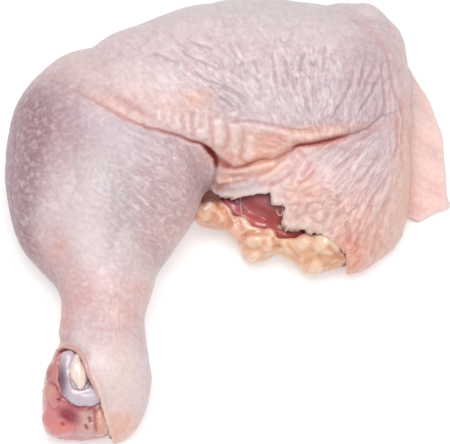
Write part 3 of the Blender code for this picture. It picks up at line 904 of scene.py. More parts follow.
# Every fold, groove and roll of the skin.
RELIEF = (
    KNEE_FOLD,
    THIGH_FOLD,
    *CORNER_PIT,
    *CORNER_GAP,
    # The dark red line at the bottom of each fold, partly painted shade, deepest where the fold is
    # closed.
    Stroke(KNEE_FOLD.corners[4:10], -0.1, 0.5, Tint.CRIMSON, 0.15),
    Stroke(KNEE_FOLD.corners[8:], -0.4, 0.5, Tint.CRIMSON, 0.7),
    Stroke(THIGH_FOLD.corners[:5], -0.3, 0.6, Tint.CRIMSON, 0.4),
    Stroke(THIGH_FOLD.corners[3:9], 0, 0.5, Tint.CRIMSON, 0.15),
    Stroke(THIGH_FOLD.corners[8:14], -0.5, 0.6, Tint.CRIMSON, 0.85),
    # Pleats that run down into the folds from the lip above them, pale along their crests, partly
    # as a painted highlight.
    *alike(
        0.35, 0.9, Tint.PALE, 0.35,
        ((-8.1, 35.3), (-8.7, 32.2), (-9, 28.8)), ((-6.5, 35), (-5.9, 31.6), (-5.6, 28.2)),
        ((-17.7, 34.1), (-17.1, 30.4)), ((-14.9, 33.5), (-14.3, 29.1)),
        ((-11.8, 32.9), (-11.2, 27.6)), ((-20.8, 34.7), (-20.1, 31.3)),
    ),
    # Broad lobes beside the pleats, and the grooves between them; the lobes are pale, partly as a
    # painted highlight.
    *alike(
        0.6, 1.7, Tint.PALE, 0.35,
        ((-2.5, 31.9), (-1.9, 27.6), (-1.9, 23.2)), ((2.8, 30.7), (3.1, 25.4), (2.5, 20.8)),
        ((-7.1, 29.1), (-6.8, 26)), ((7.8, 27.3), (7.8, 22.9), (6.5, 19.5)),
    ),
    *alike(
        -0.4, 0.6, Tint.AMBER, 0.3,
        ((-4.7, 32.9), (-4.3, 29.1), (-3.7, 24.8), (-3.6, 22.6)),
        ((0, 31.6), (1.1, 27.3), (0.3, 23.6), (-1.9, 21.8)),
        ((5.6, 29.1), (5.9, 26), (5, 21.7), (4.3, 19.1)),
        ((-10.2, 34.1), (-10.2, 30.4), (-9.6, 26.4)), ((-13.3, 33.5), (-13, 30.4), (-12.4, 27.9)),
    ),
    # A round blob of skin above the lip.
    Stroke(((2.5, 34.3), (2.9, 32.4)), 0.6, 1.3, Tint.PALE, 0.6),
    # Rolls and the grooves between them, below the fold.
    *alike(
        0.9, 1.2, Tint.PEACH, 0.6,
        ((-1.7, 14.7), (1.6, 15.8), (5.6, 16.1), (9.6, 16.9), (13.3, 17.8), (15.8, 18.9)),
        ((-2.8, 12.1), (-0.3, 12.9), (2.2, 13.3)),
        ((9.6, 13), (12.7, 14.3), (15.8, 16.1), (18.3, 18), (20.8, 19.8)),
    ),
    *alike(
        -0.5, 0.65, Tint.AMBER, 0.4,
        (
            (-1.9, 12.9), (0.9, 13.6), (4, 14.3), (8.4, 14.3), (12.5, 15.3), (14.7, 16.6),
            (16.3, 18.8),
        ),
        ((-3.6, 9.8), (-1.9, 10.1), (-0.3, 10.5)),
        ((-2.8, 10.7), (0.9, 11.9), (4.7, 12.7), (7.8, 13.2)),
        ((12.7, 10.8), (15.5, 12.2), (18, 13.5), (21.1, 16)),
        ((22, 11.8), (25.1, 13.3), (28.2, 16.4)),
        ((21.4, 22.3), (23.2, 21.7), (25.1, 19.8)),
    ),
    # A flat greyish band of membrane below the rolls.
    Stroke(
        (
            (-4.3, 8.4), (-1.6, 9), (1.6, 9.8), (5.3, 10.5), (9, 11.2), (12.7, 12.2),
            (15.8, 13.6),
        ),
        0.4, 2, Tint.SMOKE, 0.4,
    ),
    # The crease over the lip, and the pale band along it.
    Stroke(
        (
            (1.4, 31.5), (3, 31), (7.1, 31.2), (11.5, 30.4), (16.3, 29.6), (21, 28.6),
            (26.4, 28.4), (32.5, 28.8),
        ),
        -0.6, 0.6, Tint.BLUSH, 0.6,
    ),
    Stroke(
        (
            (5.3, 29.9), (11.5, 28.9), (17.9, 27.7), (22.6, 26.7), (27.9, 26.8), (34.1, 28.1),
            (40.6, 29.8),
        ),
        0.6, 1.2, Tint.CREAM, 0.2,
    ),
    # Long furrows of the thigh.
    *alike(
        -0.5, 0.5, Tint.MAUVE, 0.25,
        ((-10.8, 56.1), (-8.4, 55.2), (-5.6, 54.6), (-3.7, 53)),
        ((-23.2, 52.2), (-19.8, 51.5), (-17.1, 50.2), (-13.9, 49.3)),
        ((-13.9, 53.6), (-10.2, 51.1), (-6.8, 49.6), (-0.6, 46.8)),
        ((-11.5, 47.7), (-5.9, 44.3), (0.3, 41.9), (7.1, 37.8)),
        ((1.2, 56.4), (3.4, 51.8), (5, 50.2), (5.6, 48)),
        ((8.4, 50.8), (9.6, 48.4), (10.8, 45.6)), ((14.3, 53.3), (14.9, 49.6), (16.1, 40.9)),
        ((18.6, 50.8), (19.2, 47.1), (19.5, 43.4)), ((-2.2, 38.8), (0.6, 37.5), (2.8, 35)),
        ((39.7, 47.7), (39.1, 43.1), (35.6, 36.3), (34.1, 33.8)),
        ((42.8, 48.4), (42.2, 44.6), (41.2, 41.5)), ((46.8, 44), (45.3, 40), (40.9, 33.5)),
        ((24.8, 53.3), (23.9, 50.2), (23.2, 46.2)), ((22.3, 45.3), (21.4, 40.3)),
        ((31.3, 54.9), (30.7, 50.2), (30.1, 45.6)), ((49.9, 53.9), (52.1, 42.8), (55.5, 32.9)),
        ((48, 50.2), (49.9, 37.8), (49, 32.9)),
    ),
    # The edge of the hump at the hip end, and of the hip itself.
    Stroke(
        ((28.8, 67.6), (34.1, 66), (38.8, 63.9), (44, 60.5), (48.4, 55.5), (50.5, 50.8)),
        -0.5, 1.6, Tint.BLUSH, 0.3,
    ),
    Stroke(
        ((57.4, 45.9), (57, 39.4), (57, 32.2), (57.2, 25.4), (56.6, 17.7), (55.8, 2.5)),
        -0.3, 1.2, Tint.BLUSH, 0.35,
    ),
    # Furrows beside the root of the flap.
    *alike(
        -0.5, 0.7, Tint.BLUSH, 0.5,
        ((54.6, 40.3), (55.5, 31.6), (55.2, 22.3), (55.8, 13)),
        ((56.7, 40.9), (57.4, 32.2), (57, 22.3), (57.7, 9.9)),
        ((53, 34.7), (53.6, 27), (53.3, 19.2)),
    ),
    # Furrows of the loose skin below the folds.
    *alike(
        -0.6, 0.9, Tint.BLUSH, 0.3,
        ((35, 9.3), (35, 5), (34.4, 0)), ((37.5, 0.6), (38.2, -4.3), (39, -7.5)),
        ((42.2, 1.2), (41.4, -4.3), (41, -8.5)), ((45.3, -0.6), (44, -5.6), (43.2, -9.5)),
        ((48.4, -3.1), (46.4, -7.4), (45.2, -11.2)),
        ((35.6, 22.3), (39.4, 24.5), (43.7, 26.7), (47.4, 29.4)),
        ((32.5, 15.5), (37.2, 18.6), (41.2, 21.7), (45, 25.1)),
        ((39.4, 9.9), (42.8, 13.9), (46.2, 18.3), (49, 22.3)),
        ((43.4, 3.1), (46.2, 7.4), (49.3, 11.8), (51.8, 16.1)),
        ((23.2, 8.1), (27, 9), (30.7, 9.3), (33.8, 9)),
        ((23.2, 13.6), (25.1, 16.1), (26.7, 19.2)), ((47.4, 0), (49.6, 4.3), (51.5, 8.1)),
    ),
    # Sharper folds that meet at the right end of the tear.
    *alike(
        -0.1, 0.6, Tint.AMBER, 0.35,
        ((38.4, -0.6), (39.4, -5), (40.9, -9)), ((40.9, -0.9), (40.9, -5), (41.4, -9)),
        ((36.9, -3.1), (38.8, -6.5), (40.6, -9.3)),
    ),
    # The fold near the flap's tip.
    Stroke(
        ((57.4, 6.8), (59.2, 5), (61.7, 3.7), (64.2, 4), (69.4, 5.3)),
        -0.5, 0.6, Tint.BLUSH, 0.6,
    ),
    # Long soft furrows under the knee's fold.
    *alike(
        -0.3, 0.9, Tint.SMOKE, 0.3,
        ((-32.5, 31), (-26.4, 28.2), (-20.1, 26), (-14.6, 24.8)),
        ((-33.2, 29.1), (-27, 26), (-21.4, 23.9)),
    ),
    # The turned-up rims of the torn edge and of the cut at the ankle.
    Stroke(inset(TORN_EDGE, 0.8), 0.3, 1, Tint.CREAM, 0.5),
    Stroke(inset(TORN_EDGE[LOOSE_FROM:], 1.4), 0.2, 1.4, Tint.AMBER, 0.5),
    Stroke(inset(ANKLE_EDGE, 0.6), 0.4, 0.7, Tint.PEACH, 0.8),
)

# The ways that the wrinkles of each part of the skin run.
THIGH_FLOW = Flow(90.0, (32.0, -14.0), 60.0)
SLANT_FLOW = Flow(-42.0)
APRON_FLOW = Flow(-115.0, (64.0, 46.0), 48.0)
DRUM_FLOW = Flow(-33.0)
LEVEL = Flow(0.0)
UPRIGHT = Flow(90.0)

WRINKLES = (
    Wrinkles((-24, 50), (22, 12), SLANT_FLOW, 2.4, 8, 0.16, 1),
    Wrinkles((-6, 46), (15, 13), SLANT_FLOW, 2.5, 9, 0.34, 2),
    Wrinkles((20, 44), (18, 14), THIGH_FLOW, 2.5, 7.5, 0.48, 3),
    Wrinkles((30, 32), (14, 6), THIGH_FLOW, 1.8, 4, 0.35, 5),
    Wrinkles((46, 40), (8, 12), THIGH_FLOW, 2.6, 9, 0.38, 13),
    Wrinkles((10, 44), (30, 16), LEVEL, 3.0, 6, 0.14, 4),
    Wrinkles((16, 25), (12, 4.5), Flow(-10.0), 1.1, 5, 0.22, 6),
    Wrinkles((42, 16), (14, 13), APRON_FLOW, 1.9, 8, 0.36, 7),
    Wrinkles((44, -3), (12, 12), APRON_FLOW, 1.9, 7, 0.40, 8),
    Wrinkles((27, 4), (12, 9), Flow(35.0), 2.8, 4, 0.60, 9),
    Wrinkles((-24, 8), (14, 24), DRUM_FLOW, 1.5, 4.5, 0.14, 10),
    Wrinkles((-34, -30), (6, 9), UPRIGHT, 1.5, 8, 0.16, 11),
    Wrinkles((-46, 36), (16, 9), Flow(28.0), 2.2, 10, 0.10, 12),
    Wrinkles((54, 30), (4, 26), UPRIGHT, 2.0, 7, 0.35, 17),
    Wrinkles((62, 20), (8, 30), LEVEL, 3.4, 4, 0.08, 14),
    Wrinkles((0, 20), (140, 120), Flow(20.0), 16.0, 16, 0.45, 15),
    Wrinkles((0, 20), (140, 120), Flow(60.0), 1.7, 1.9, 0.04, 16),
)

FOLLICLES = (
    Follicles((-36.5, 48, 17), (-36.5, -70, 14), 3.5, 4.1, 1.0, 0.16, 0.75, 3),
    Follicles((-44, 30, 16), (58, 30, 16), 3.5, 3.9, 0.9, 0.10, 0.85, 4),
)

# The tints of the skin. Each runs from the drumstick over the thigh and the lip to the flap.
WASHES = {
    Tint.MAUVE: ovals(
        # Along the drumstick's left edge, in the first three, the mauve is the skin's own colour
        # and partly painted shade where it turns from the light.
        ((-64.4, 13.5), (8.6, 28), 1.0, -6), ((-66, 8), (4, 13), 0.5),
        ((-57, -13), (14, 3.4), 0.8, -58), ((-50, -33), (2.6, 9), 0.5),
        ((-55, 37), (14, 8), 0.55, 35), ((-7, 17), (7, 10), 0.5), ((-22, 0), (9, 14), 0.25),
        ((-19, -12), (3, 9), 0.35, 30), ((-44, 28), (8, 7), 0.3), ((-52, 24), (8, 12), 0.4),
        ((45, 45), (8, 15), 0.4), ((0, 10.2), (3, 1.5), 0.6),
    ),
    Tint.BLUSH: ovals(
        ((-50, -31), (3, 6), 0.9), ((-16, 6), (9, 14), 0.3, 20), ((-53, -8), (6, 8), 0.5),
        ((-20, -6), (8, 9), 0.3), ((-46, -20), (7, 9), 0.55), ((-36, -27), (13, 12), 0.35),
        ((-33, -64.5), (5, 4), 0.8), ((-31, 35.5), (13, 3.0), 0.7, -27),
        ((52.5, 38), (4.0, 22), 0.4), ((56.6, 18), (3.0, 22), 0.7), ((33, 28.6), (7, 2.4), 0.5, 6),
        ((3.1, 19.8), (7, 2.8), 1.0), ((14, 12), (3.5, 1.6), 0.6), ((24, 17), (6, 4), 0.6),
        ((42, 4), (5, 6), 0.7),
    ),
    Tint.LAVENDER: ovals(
        ((-34, 28), (18, 6), 0.5, -20), ((30, 46), (14, 10), 0.25),
    ),
    Tint.SMOKE: ovals(
        # The first greys the middle of the drumstick as painted shade, under the key lamp's
        # brightest light.
        ((-35, 11), (13, 18), 0.9), ((-34, -15), (5, 8), 0.3), ((-33, -64.5), (5, 4), 0.5),
        ((-34, 36.5), (12, 4), 0.75, -27), ((-3, 38.0), (11, 6), 0.9), ((1.6, 29.8), (4, 3), 0.7),
        ((27, 28.6), (14, 2.4), 0.4, 4), ((8, 10.8), (9, 1.8), 0.3, 6),
    ),
    Tint.PALE: ovals(
        # The first is pale tone and partly a painted highlight down the drumstick.
        ((-42, -4), (5, 13), 0.5), ((-32, 45), (12, 5), 0.4),
    ),
    Tint.PEACH: ovals(
        ((-30, -26), (7, 8), 0.3), ((-32, -64), (6, 6), 0.9), ((-30, 40), (26, 7), 0.3, -25),
        ((-8, 39), (6, 3), 0.6), ((-3, 30), (16, 5.5), 0.45, -25), ((56.6, 18), (3.0, 22), 0.5),
        ((53, 8), (5.0, 12), 0.4), ((10, 23.4), (17, 5), 0.9, 10), ((28, 27.6), (16, 2.4), 0.9, 6),
        ((8, 15.5), (13, 2.4), 0.4, 14), ((24, 10), (6, 5), 0.5), ((33, 10), (16, 9), 0.35),
        ((27, 3.5), (12, 8), 0.5), ((44, -5), (13, 11), 0.9), ((63.5, 20), (7, 30), 0.65),
    ),
    Tint.AMBER: ovals(
        ((-50.6, -7), (1.8, 1.6), 0.35), ((-53, -9.5), (1.6, 1.6), 0.35),
        ((-26, -20.3), (2.2, 2.2), 0.3), ((14, 21.8), (8, 2.6), 0.45, 16),
        ((3.4, 19.2), (6, 1.6), 0.35), ((32.5, 24.0), (5, 1.4), 0.5, 16), ((41, -9), (9, 8), 0.5),
        ((38.6, -11.8), (3.0, 5), 0.45),
    ),
    Tint.CREAM: ovals(
        ((-33, -48), (6, 14), 0.4), ((30, 3.5), (6, 4), 0.4), ((27, 2), (8, 5), 0.4),
        ((63, 24), (7, 26), 0.3),
    ),
    Tint.GREY: ovals(
        # The last is a pale patch under the thigh's fold, partly a painted highlight.
        ((12, 66), (42, 8), 0.6), ((20, 42), (26, 14), 0.6), ((22, 21), (5, 2.5), 0.4, 30),
    ),
    Tint.ROSE: ovals(((64.5, 24), (6.5, 30), 1.0)),
}

# Where the skin's finest grain is crinkled, and where its dots show.
CRINKLED = ovals(
    ((10, 44), (30, 16), 0.6), ((34, 40), (18, 16), 0.45), ((42, 14), (13, 20), 0.7),
    ((14, 24), (24, 5), 0.3), ((-20, 14), (11, 18), 0.8), ((-60, 14), (12, 26), 0.15),
    ((-25, 50), (24, 14), 0.2), ((27, 3), (12, 9), 0.5),
)
FLECKED = ovals(
    ((-19, 14), (12, 19), 1.0), ((-36, -6), (20, 22), 0.35), ((-36, -34), (10, 16), 0.4),
    ((-60, 14), (10, 30), 0.3), ((10, 60), (40, 10), 0.3),
)
DOTTED = ovals(
    ((-60, 16), (13, 36), 0.5), ((-46, 42), (22, 12), 0.45), ((-18, 0), (12, 22), 0.5),
    ((20, 48), (46, 22), 0.35),
)


def ragged(outline: Line, seed: int, stray: float, step: float = 0.8) -> list[Place]:
    """Give an outline many points that stray a little, as a torn edge does.

    Args:
        outline: the outline's corners.
        seed: the seed of its strays.
        stray: how far its points stray.
        step: the distance between them.

    Returns:
        The torn outline.
    """
    draw = random.Random(seed)
    torn, corners = [], np.array(outline)
    for start, end in zip(corners, corners[1:]):
        count = max(int(np.linalg.norm(end - start) / step), 1)
        for i in range(count):
            place = start + (end - start) * i / count
            torn.append((place[0] + draw.gauss(0, stray), place[1] + draw.gauss(0, stray)))
    return [*torn, outline[-1]]


# How often an edge may be halved.
DIVISIONS = 7


def refined(target: Thing, fine: float, near: Region) -> Thing:
    """Divide the edges in a region until they are fine.

    Args:
        target: the object.
        fine: the longest edge that may stay, in millimetres.
        near: tells how much each point of an array belongs to the region.

    Returns:
        The object.
    """
    with editing(target) as bm:
        for _ in range(DIVISIONS):
            bmesh.ops.triangulate(bm, faces=[face for face in bm.faces if len(face.verts) > 3])
            inside = near(np.array([vert.co[:] for vert in bm.verts]) / MM) > 0
            bm.verts.index_update()
            long = [edge for edge in bm.edges if edge.calc_length() > fine * MM]
            long = [edge for edge in long if all(inside[vert.index] for vert in edge.verts)]
            if not long:
                break
            bmesh.ops.subdivide_edges(bm, edges=long, cuts=1)
    return target


def evened(target: Thing, near: Region, rounds: int) -> Thing:
    """Smooth the points in a region by this many rounds."""
    points, _ = points_of(target)
    axes = {f"use_axis_{axis}": True for axis in "xyz"}
    with editing(target) as bm:
        bm.verts.ensure_lookup_table()
        verts = [bm.verts[i] for i in np.flatnonzero(near(points) > 0)]
        for _ in range(rounds):
            bmesh.ops.smooth_vert(bm, verts=verts, factor=0.5, **axes)
    return target


def hollows(target: Thing, rounds: int, full: float) -> Array:
    """How far each point lies below the mean of those round it.

    Args:
        target: the object.
        rounds: over how many rings of neighbours the mean is taken.
        full: the depth in millimetres that counts as 1.

    Returns:
        Depths, positive in hollows and negative on ridges.
    """
    points, normals = points_of(target)
    pairs = np.empty(len(target.data.edges) * 2, dtype=np.int64)
    target.data.edges.foreach_get("vertices", pairs)
    left, right = pairs.reshape(-1, 2).T
    links = np.maximum(np.bincount(pairs, minlength=len(points)), 1)[:, None]
    mean = points
    for _ in range(rounds):
        ends = ((left, mean[right]), (right, mean[left]))
        sums = [[np.bincount(at, far[:, k], len(points)) for at, far in ends] for k in range(3)]
        mean = np.stack([here + there for here, there in sums], axis=1) / links
    return ((mean - points) * normals).sum(axis=1) / full


def painted(target: Thing, masks: dict[str, Array]) -> Thing:
    """Store masks from 0 to 1 on the object's points, for its material."""
    for name, values in masks.items():
        layer = target.data.attributes.new(name, "FLOAT", "POINT")
        layer.data.foreach_set("value", np.clip(values, 0, 1).astype(np.float32))
    return target


def under(points: Array, outer: BVHTree) -> tuple[Array, Array, Array]:
    """Find how points lie under a surface.

    Args:
        points: the points.
        outer: the surface.

    Returns:
        The steps out to it, its outward directions there, and how deep each point lies.
    """
    found = [outer.find_nearest(Vector(p))[:2] for p in points]
    steps = np.array([place for place, _ in found]) - points
    outwards = np.array([normal for _, normal in found])
    return steps, outwards, (steps * outwards).sum(axis=1)


def tucked(points: Array, outer: BVHTree, cover: float, share: Array | float = 1.0) -> Array:
    """Move points inwards until they lie far enough under a surface.

    Args:
        points: the points.
        outer: the surface.
        cover: how far under it they must lie.
        share: how much of the move each point makes.

    Returns:
        The moved points.
    """
    _, outwards, deep = under(points, outer)
    return points - (np.maximum(cover - deep, 0) * share)[:, None] * outwards


def bed(node: str, outer: BVHTree, gap: float = 0.35, cover: float = 0.8) -> Thing:
    """A copy of a solid, larger by the gap but kept under the outer face, to cut its bed with."""
    cutter = solid_copy(node, "cutter")
    points, normals = points_of(cutter)
    return set_points(cutter, tucked(points + normals * gap, outer, cover))


def largest_only(target: Thing) -> Thing:
    """Drop the loose scraps that cutting leaves."""
    with editing(target) as bm:
        left, bodies = set(bm.verts), []
        while left:
            body, edge = set(), [left.pop()]
            while edge:
                vert = edge.pop()
                body.add(vert)
                found = {e.other_vert(vert) for e in vert.link_edges} & left
                left -= found
                edge.extend(found)
            bodies.append(body)
        bodies.sort(key=len)
        bmesh.ops.delete(bm, geom=[v for body in bodies[:-1] for v in body], context="VERTS")
    return target


def lightened(target: Thing, spare: Array, triangles: int) -> Thing:
    """Thin out the mesh where it can be spared, until few enough triangles are left."""
    total = sum(len(face.vertices) - 2 for face in target.data.polygons)
    if total <= triangles:
        return target
    group = target.vertex_groups.new(name="spare")
    group.add(np.flatnonzero(spare).tolist(), 1.0, "REPLACE")
    ratio = triangles / total
    applied(target, "DECIMATE", ratio=ratio, vertex_group="spare", vertex_group_factor=1.0)
    target.vertex_groups.clear()
    return target


def strip(line: Line, reach: float) -> Region:
    """The region this near a line on the leaning plane, as a function of points."""
    path = np.array(line)

    def near(points: Array) -> Array:
        """How far inside the strip each point is."""
        return reach - np.abs(beside(path, PLANE.places(points)).side)

    return near


@dataclass
class Skin:
    """The skin: one shell over the flesh, torn at the thigh and cut at the ankle."""

    form: LegForm = LegForm()
    flap: Flap = Flap()
    wall: float = 2.6
    least_wall: float = 0.6
    # How thin it is at its torn edge and at the ankle, and how far in that reaches.
    thin_edges: tuple = ((TORN_EDGE, 0.9, 7.0), (ANKLE_EDGE[8:], 1.1, 5.0))
    # Where it is drawn in to the joint, by how much, and how far that reaches.
    drawn_in: tuple = (ANKLE_EDGE[:6], 1.1, 5.0)
    # How far in front of the leaning plane a point is surely not on the leg's back.
    front_depths: Place = (6.0, 13.0)
    # How flat the thinned lip is at its edge, and how deep the outer face's own points lie.
    lip_flat: float = 0.3
    outer_deep: float = 0.25
    # How far the torn edge and the cut at the ankle stray.
    tear_seed: int = 5
    tear_stray: float = 0.17
    ankle_seed: int = 6
    ankle_stray: float = 0.1
    # The least height and tint of the dots, the least crinkle and flecks, and a dot's tint's reach.
    least_dots: Place = (0.2, 0.1)
    least_crinkle: float = 0.05
    least_flecks: float = 0.15
    dot_reach: float = 0.95
    # The width and depth of a full hollow, which gets painted shade, and of a full ridge, which
    # gets a painted highlight, and where the inner colour starts.
    hollow: tuple[int, float] = (6, 0.25)
    ridge: tuple[int, float] = (3, 0.10)
    inner_depths: Place = (0.3, 0.9)
    # How fine and how even the mesh is along the torn and the cut edge.
    edge_fine: float = 0.55
    edge_reach: float = 1.3
    edge_rounds: int = 3
    # How many triangles may be left, and below what height the mesh can be spared.
    triangles: int = 190_000
    near_floor: float = 1.0
    spots: list[tuple[Vector, float]] = field(default_factory=list)
    outer: BVHTree | None = None

    def crumple(self, body: Thing) -> None:
        """Press the folds, wrinkles and dots into the body."""
        points, normals, places = seen(body)
        heights, steps = pressed(RELIEF, places)
        faced = facing(normals)
        heights *= faced
        for patch in WRINKLES:
            heights += patch.heights(points, places)
        edge, drawn, reach = self.drawn_in
        away = np.abs(beside(np.array(edge), places).side)
        heights -= drawn * (1 - smooth_step(away, 1.0, reach))
        surface = tree_of(body)
        dotted = patched(places, DOTTED, self.least_dots[0])
        for dots in FOLLICLES:
            fresh = dots.spots(surface)
            heights += dots.height * dotted * self.raised(points, fresh, dots.radius)
            self.spots += fresh
        shifts = PLANE.shifts(steps * faced[:, None])
        set_points(body, points + heights[:, None] * normals + shifts)

    def raised(self, points: Array, spots: list[tuple[Vector, float]], radius: float) -> Array:
        """How much each point belongs to a round dot, and to a strong one."""
        tree = KDTree(len(spots))
        for i, (spot, _) in enumerate(spots):
            tree.insert(spot, i)
        tree.balance()
        strengths = np.array([strength for _, strength in spots])
        found = [tree.find(p)[1:] for p in points.tolist()]
        which, gaps = np.array(found).T
        return strengths[which.astype(int)] * np.exp(-((gaps / radius) ** 2))

    def cut(self, body: Thing) -> None:
        """Add the flap, cut the body open and cut out the beds of what it covers."""
        combined(body, self.flap.build(), "UNION")
        combined(body, below_floor(), "DIFFERENCE")
        tear = ragged(TORN_EDGE, self.tear_seed, self.tear_stray)
        ankle = ragged(tuple(smooth_line(ANKLE_EDGE, 2)), self.ankle_seed, self.ankle_stray)
        for outline in (tear + list(BELOW_TEAR), ankle + list(BEYOND_ANKLE)):
            combined(body, prism(outline), "DIFFERENCE")
        for node in ("meat", "joint_tissue", "shin_bone", "fat"):
            combined(body, bed(node, self.outer), "DIFFERENCE")
        largest_only(body)

    def flows(self, points: Array, places: Array) -> Array:
        """Places across and along the way that the finest wrinkles run.

        Args:
            points: points of the skin.
            places: where they show on the leaning plane.

        Returns:
            Rows of (across, along, depth), in millimetres.
        """
        knee = np.array(((-90.0, 60.0), *KNEE_FOLD.corners))
        thigh = np.array((*THIGH_FOLD.corners, (80.0, 44.0)))
        gap = np.array((*CORNER_GAP[0].corners, (-14.0, -10.0)))
        above_knee = (beside(knee, places).side > 0) | (places[:, 0] > knee[-1, 0])
        above = above_knee & ((beside(thigh, places).side > 0) | (places[:, 0] < thigh[0, 0]))
        right = ~above & (beside(gap, places).side > 0)
        depth = points @ PLANE.normal
        ways = np.stack([*DRUM_FLOW.spread(places), depth], axis=1)
        for part, flow, beyond in ((above, THIGH_FLOW, 200.0), (right, APRON_FLOW, 400.0)):
            across, along = flow.spread(places[part])
            ways[part] = np.stack([across, along, depth[part] + beyond], axis=1)
        return ways

    def thin_lip(self, body: Thing) -> None:
        """Draw the inner wall out towards the outer one beside the skin's edges."""
        points, _ = points_of(body)
        for edge, wall, reach in self.thin_edges:
            found = beside(np.array(edge), PLANE.places(points))
            near = 1 - smooth_step(np.abs(found.side), self.lip_flat, reach)
            chosen = np.flatnonzero(near > 0)
            steps, _, deep = under(points[chosen], self.outer)
            buried = (deep > self.outer_deep) & (deep < 2 * self.wall)
            share = near[chosen] * (1 - wall / self.wall) * buried
            share = np.minimum(share, 1 - self.least_wall / np.maximum(deep, self.least_wall))
            points[chosen] += steps * share[:, None]
        set_points(body, points)

    def paint(self, body: Thing) -> None:
        """Work out the tints of the finished skin."""
        points, normals, places = seen(body)
        front = smooth_step(points @ PLANE.normal, *self.front_depths)
        front = np.maximum(facing(normals), front)
        masks = {tint.value: patched(places, WASHES.get(tint, ())) for tint in Tint}
        for stroke in RELIEF:
            chosen, weights = stroke.stain(places)
            masks[stroke.tint.value][chosen] += weights * front[chosen]
        dotted = patched(places, DOTTED, self.least_dots[1])
        masks["dots"] = dotted * self.raised(points, self.spots, self.dot_reach)
        # Painted shade in the hollows and a painted highlight on the ridges.
        masks["hollow"] = hollows(body, *self.hollow)
        masks["ridge"] = -hollows(body, *self.ridge)
        masks["crinkle"] = patched(places, CRINKLED, self.least_crinkle)
        masks["fleck"] = patched(places, FLECKED, self.least_flecks)
        masks["inside"] = smooth_step(under(points, self.outer)[2], *self.inner_depths)
        painted(body, masks)
        layer = body.data.attributes.new("flow", "FLOAT_VECTOR", "POINT")
        layer.data.foreach_set("vector", self.flows(points, places).ravel().astype(np.float32))

    def build(self) -> Thing:
        """Build the whole skin."""
        body = self.form.build()
        self.crumple(body)
        self.outer = tree_of(body)
        self.cut(body)
        self.thin_lip(body)
        for edge in (TORN_EDGE, ANKLE_EDGE):
            near = strip(edge, self.edge_reach)
            refined(body, self.edge_fine, near)
            evened(body, near, self.edge_rounds)
        points, normals = points_of(body)
        spare = (normals @ PLANE.normal < 0.0) | (points[:, 2] < self.near_floor)
        lightened(body, spare, self.triangles)
        self.paint(body)
        return body


# What lies under the skin.


# The window between the skin's torn edge and the fat, where the meat shows.
MEAT_WINDOW = (
    (-2.8, 8.1), (1.2, 4.2), (2.2, 1.9), (5.7, 1.2), (8.3, -1.6), (10.8, -2.5), (14.8, -2.5),
    (16.1, -5.2), (19.6, -5.6), (23.5, -4.9), (27.4, -3.6), (28.6, -2.0), (23.2, 3.7),
    (18.3, 9.9), (7.8, 12.4),
)


@dataclass
class Meat:
    """The dark meat, finely shaped where the torn skin shows it."""

    # What shows: a soft oval, and how much a point must belong to it.
    shown: Patch = Patch((14.0, -4.0), (36.0, 22.0))
    least: float = 0.25
    fine: float = 0.6
    even_rounds: int = 60
    voxel: float = 0.8
    smoothing: int = 3
    overlap: float = 0.6
    sunk: float = 1.6
    grain: Wrinkles = Wrinkles((8, 2), (34, 24), Flow(-24.0), 1.5, 11, 0.10, 31)
    swells: Wrinkles = Wrinkles((8, 2), (34, 24), Flow(-24.0), 6.0, 14, 0.35, 32)
    # How far in from the torn edge the skin's shade reaches.
    shaded: Place = (0.5, 2.6)
    # The width and depth of a full hollow, which gets painted shade.
    hollow: tuple[int, float] = (4, 0.15)
    tints: ClassVar[dict[str, Patches]] = {
        "purple": (Patch((2, 6), (7, 4)), Patch((13, 4), (3, 5))),
        "red": (
            Patch((19, -2), (9, 4), bearing=-20), Patch((18.6, -2.5), (3.2, 1.6), bearing=-20),
        ),
        # A painted highlight, lavender, at the right end of the meat.
        "pale": (Patch((14.3, 7.2), (1.6, 2.6), 0.7),),
    }

    def near(self, points: Array) -> Array:
        """How much each point belongs to the part that shows."""
        return self.shown.weight(PLANE.places(points)) - self.least

    def build(self) -> Thing:
        """Build the meat from its solid."""
        body = solid_copy("meat", "dark_meat")
        bulge = combined(solid_copy("fat", "bulge"), prism(MEAT_WINDOW), "INTERSECT")
        points, normals = points_of(bulge)
        points += normals * self.overlap - PLANE.normal * self.sunk
        combined(body, set_points(bulge, points), "UNION")
        blended(body, self.voxel, self.smoothing)
        refined(body, self.fine, self.near)
        evened(body, self.near, self.even_rounds)
        points, normals, places = seen(body)
        inside = np.clip(self.near(points) / self.least, 0, 1)
        heights = self.grain.heights(points, places) + self.swells.heights(points, places)
        set_points(body, points + (heights * inside)[:, None] * normals)
        self.paint(body)
        return body

    def paint(self, body: Thing) -> None:
        """Work out where the meat is purple, red or pale, with a painted highlight where it is pale
        and painted shade under the torn edge and in hollows.
        """
        _, _, places = seen(body)
        inwards = -beside(np.array(TORN_EDGE), places).side
        masks = tinted(places, self.tints)
        # Painted shade under the skin's torn edge.
        masks["shade"] = 1 - smooth_step(inwards, *self.shaded)
        masks["hollow"] = hollows(body, *self.hollow)
        painted(body, masks)


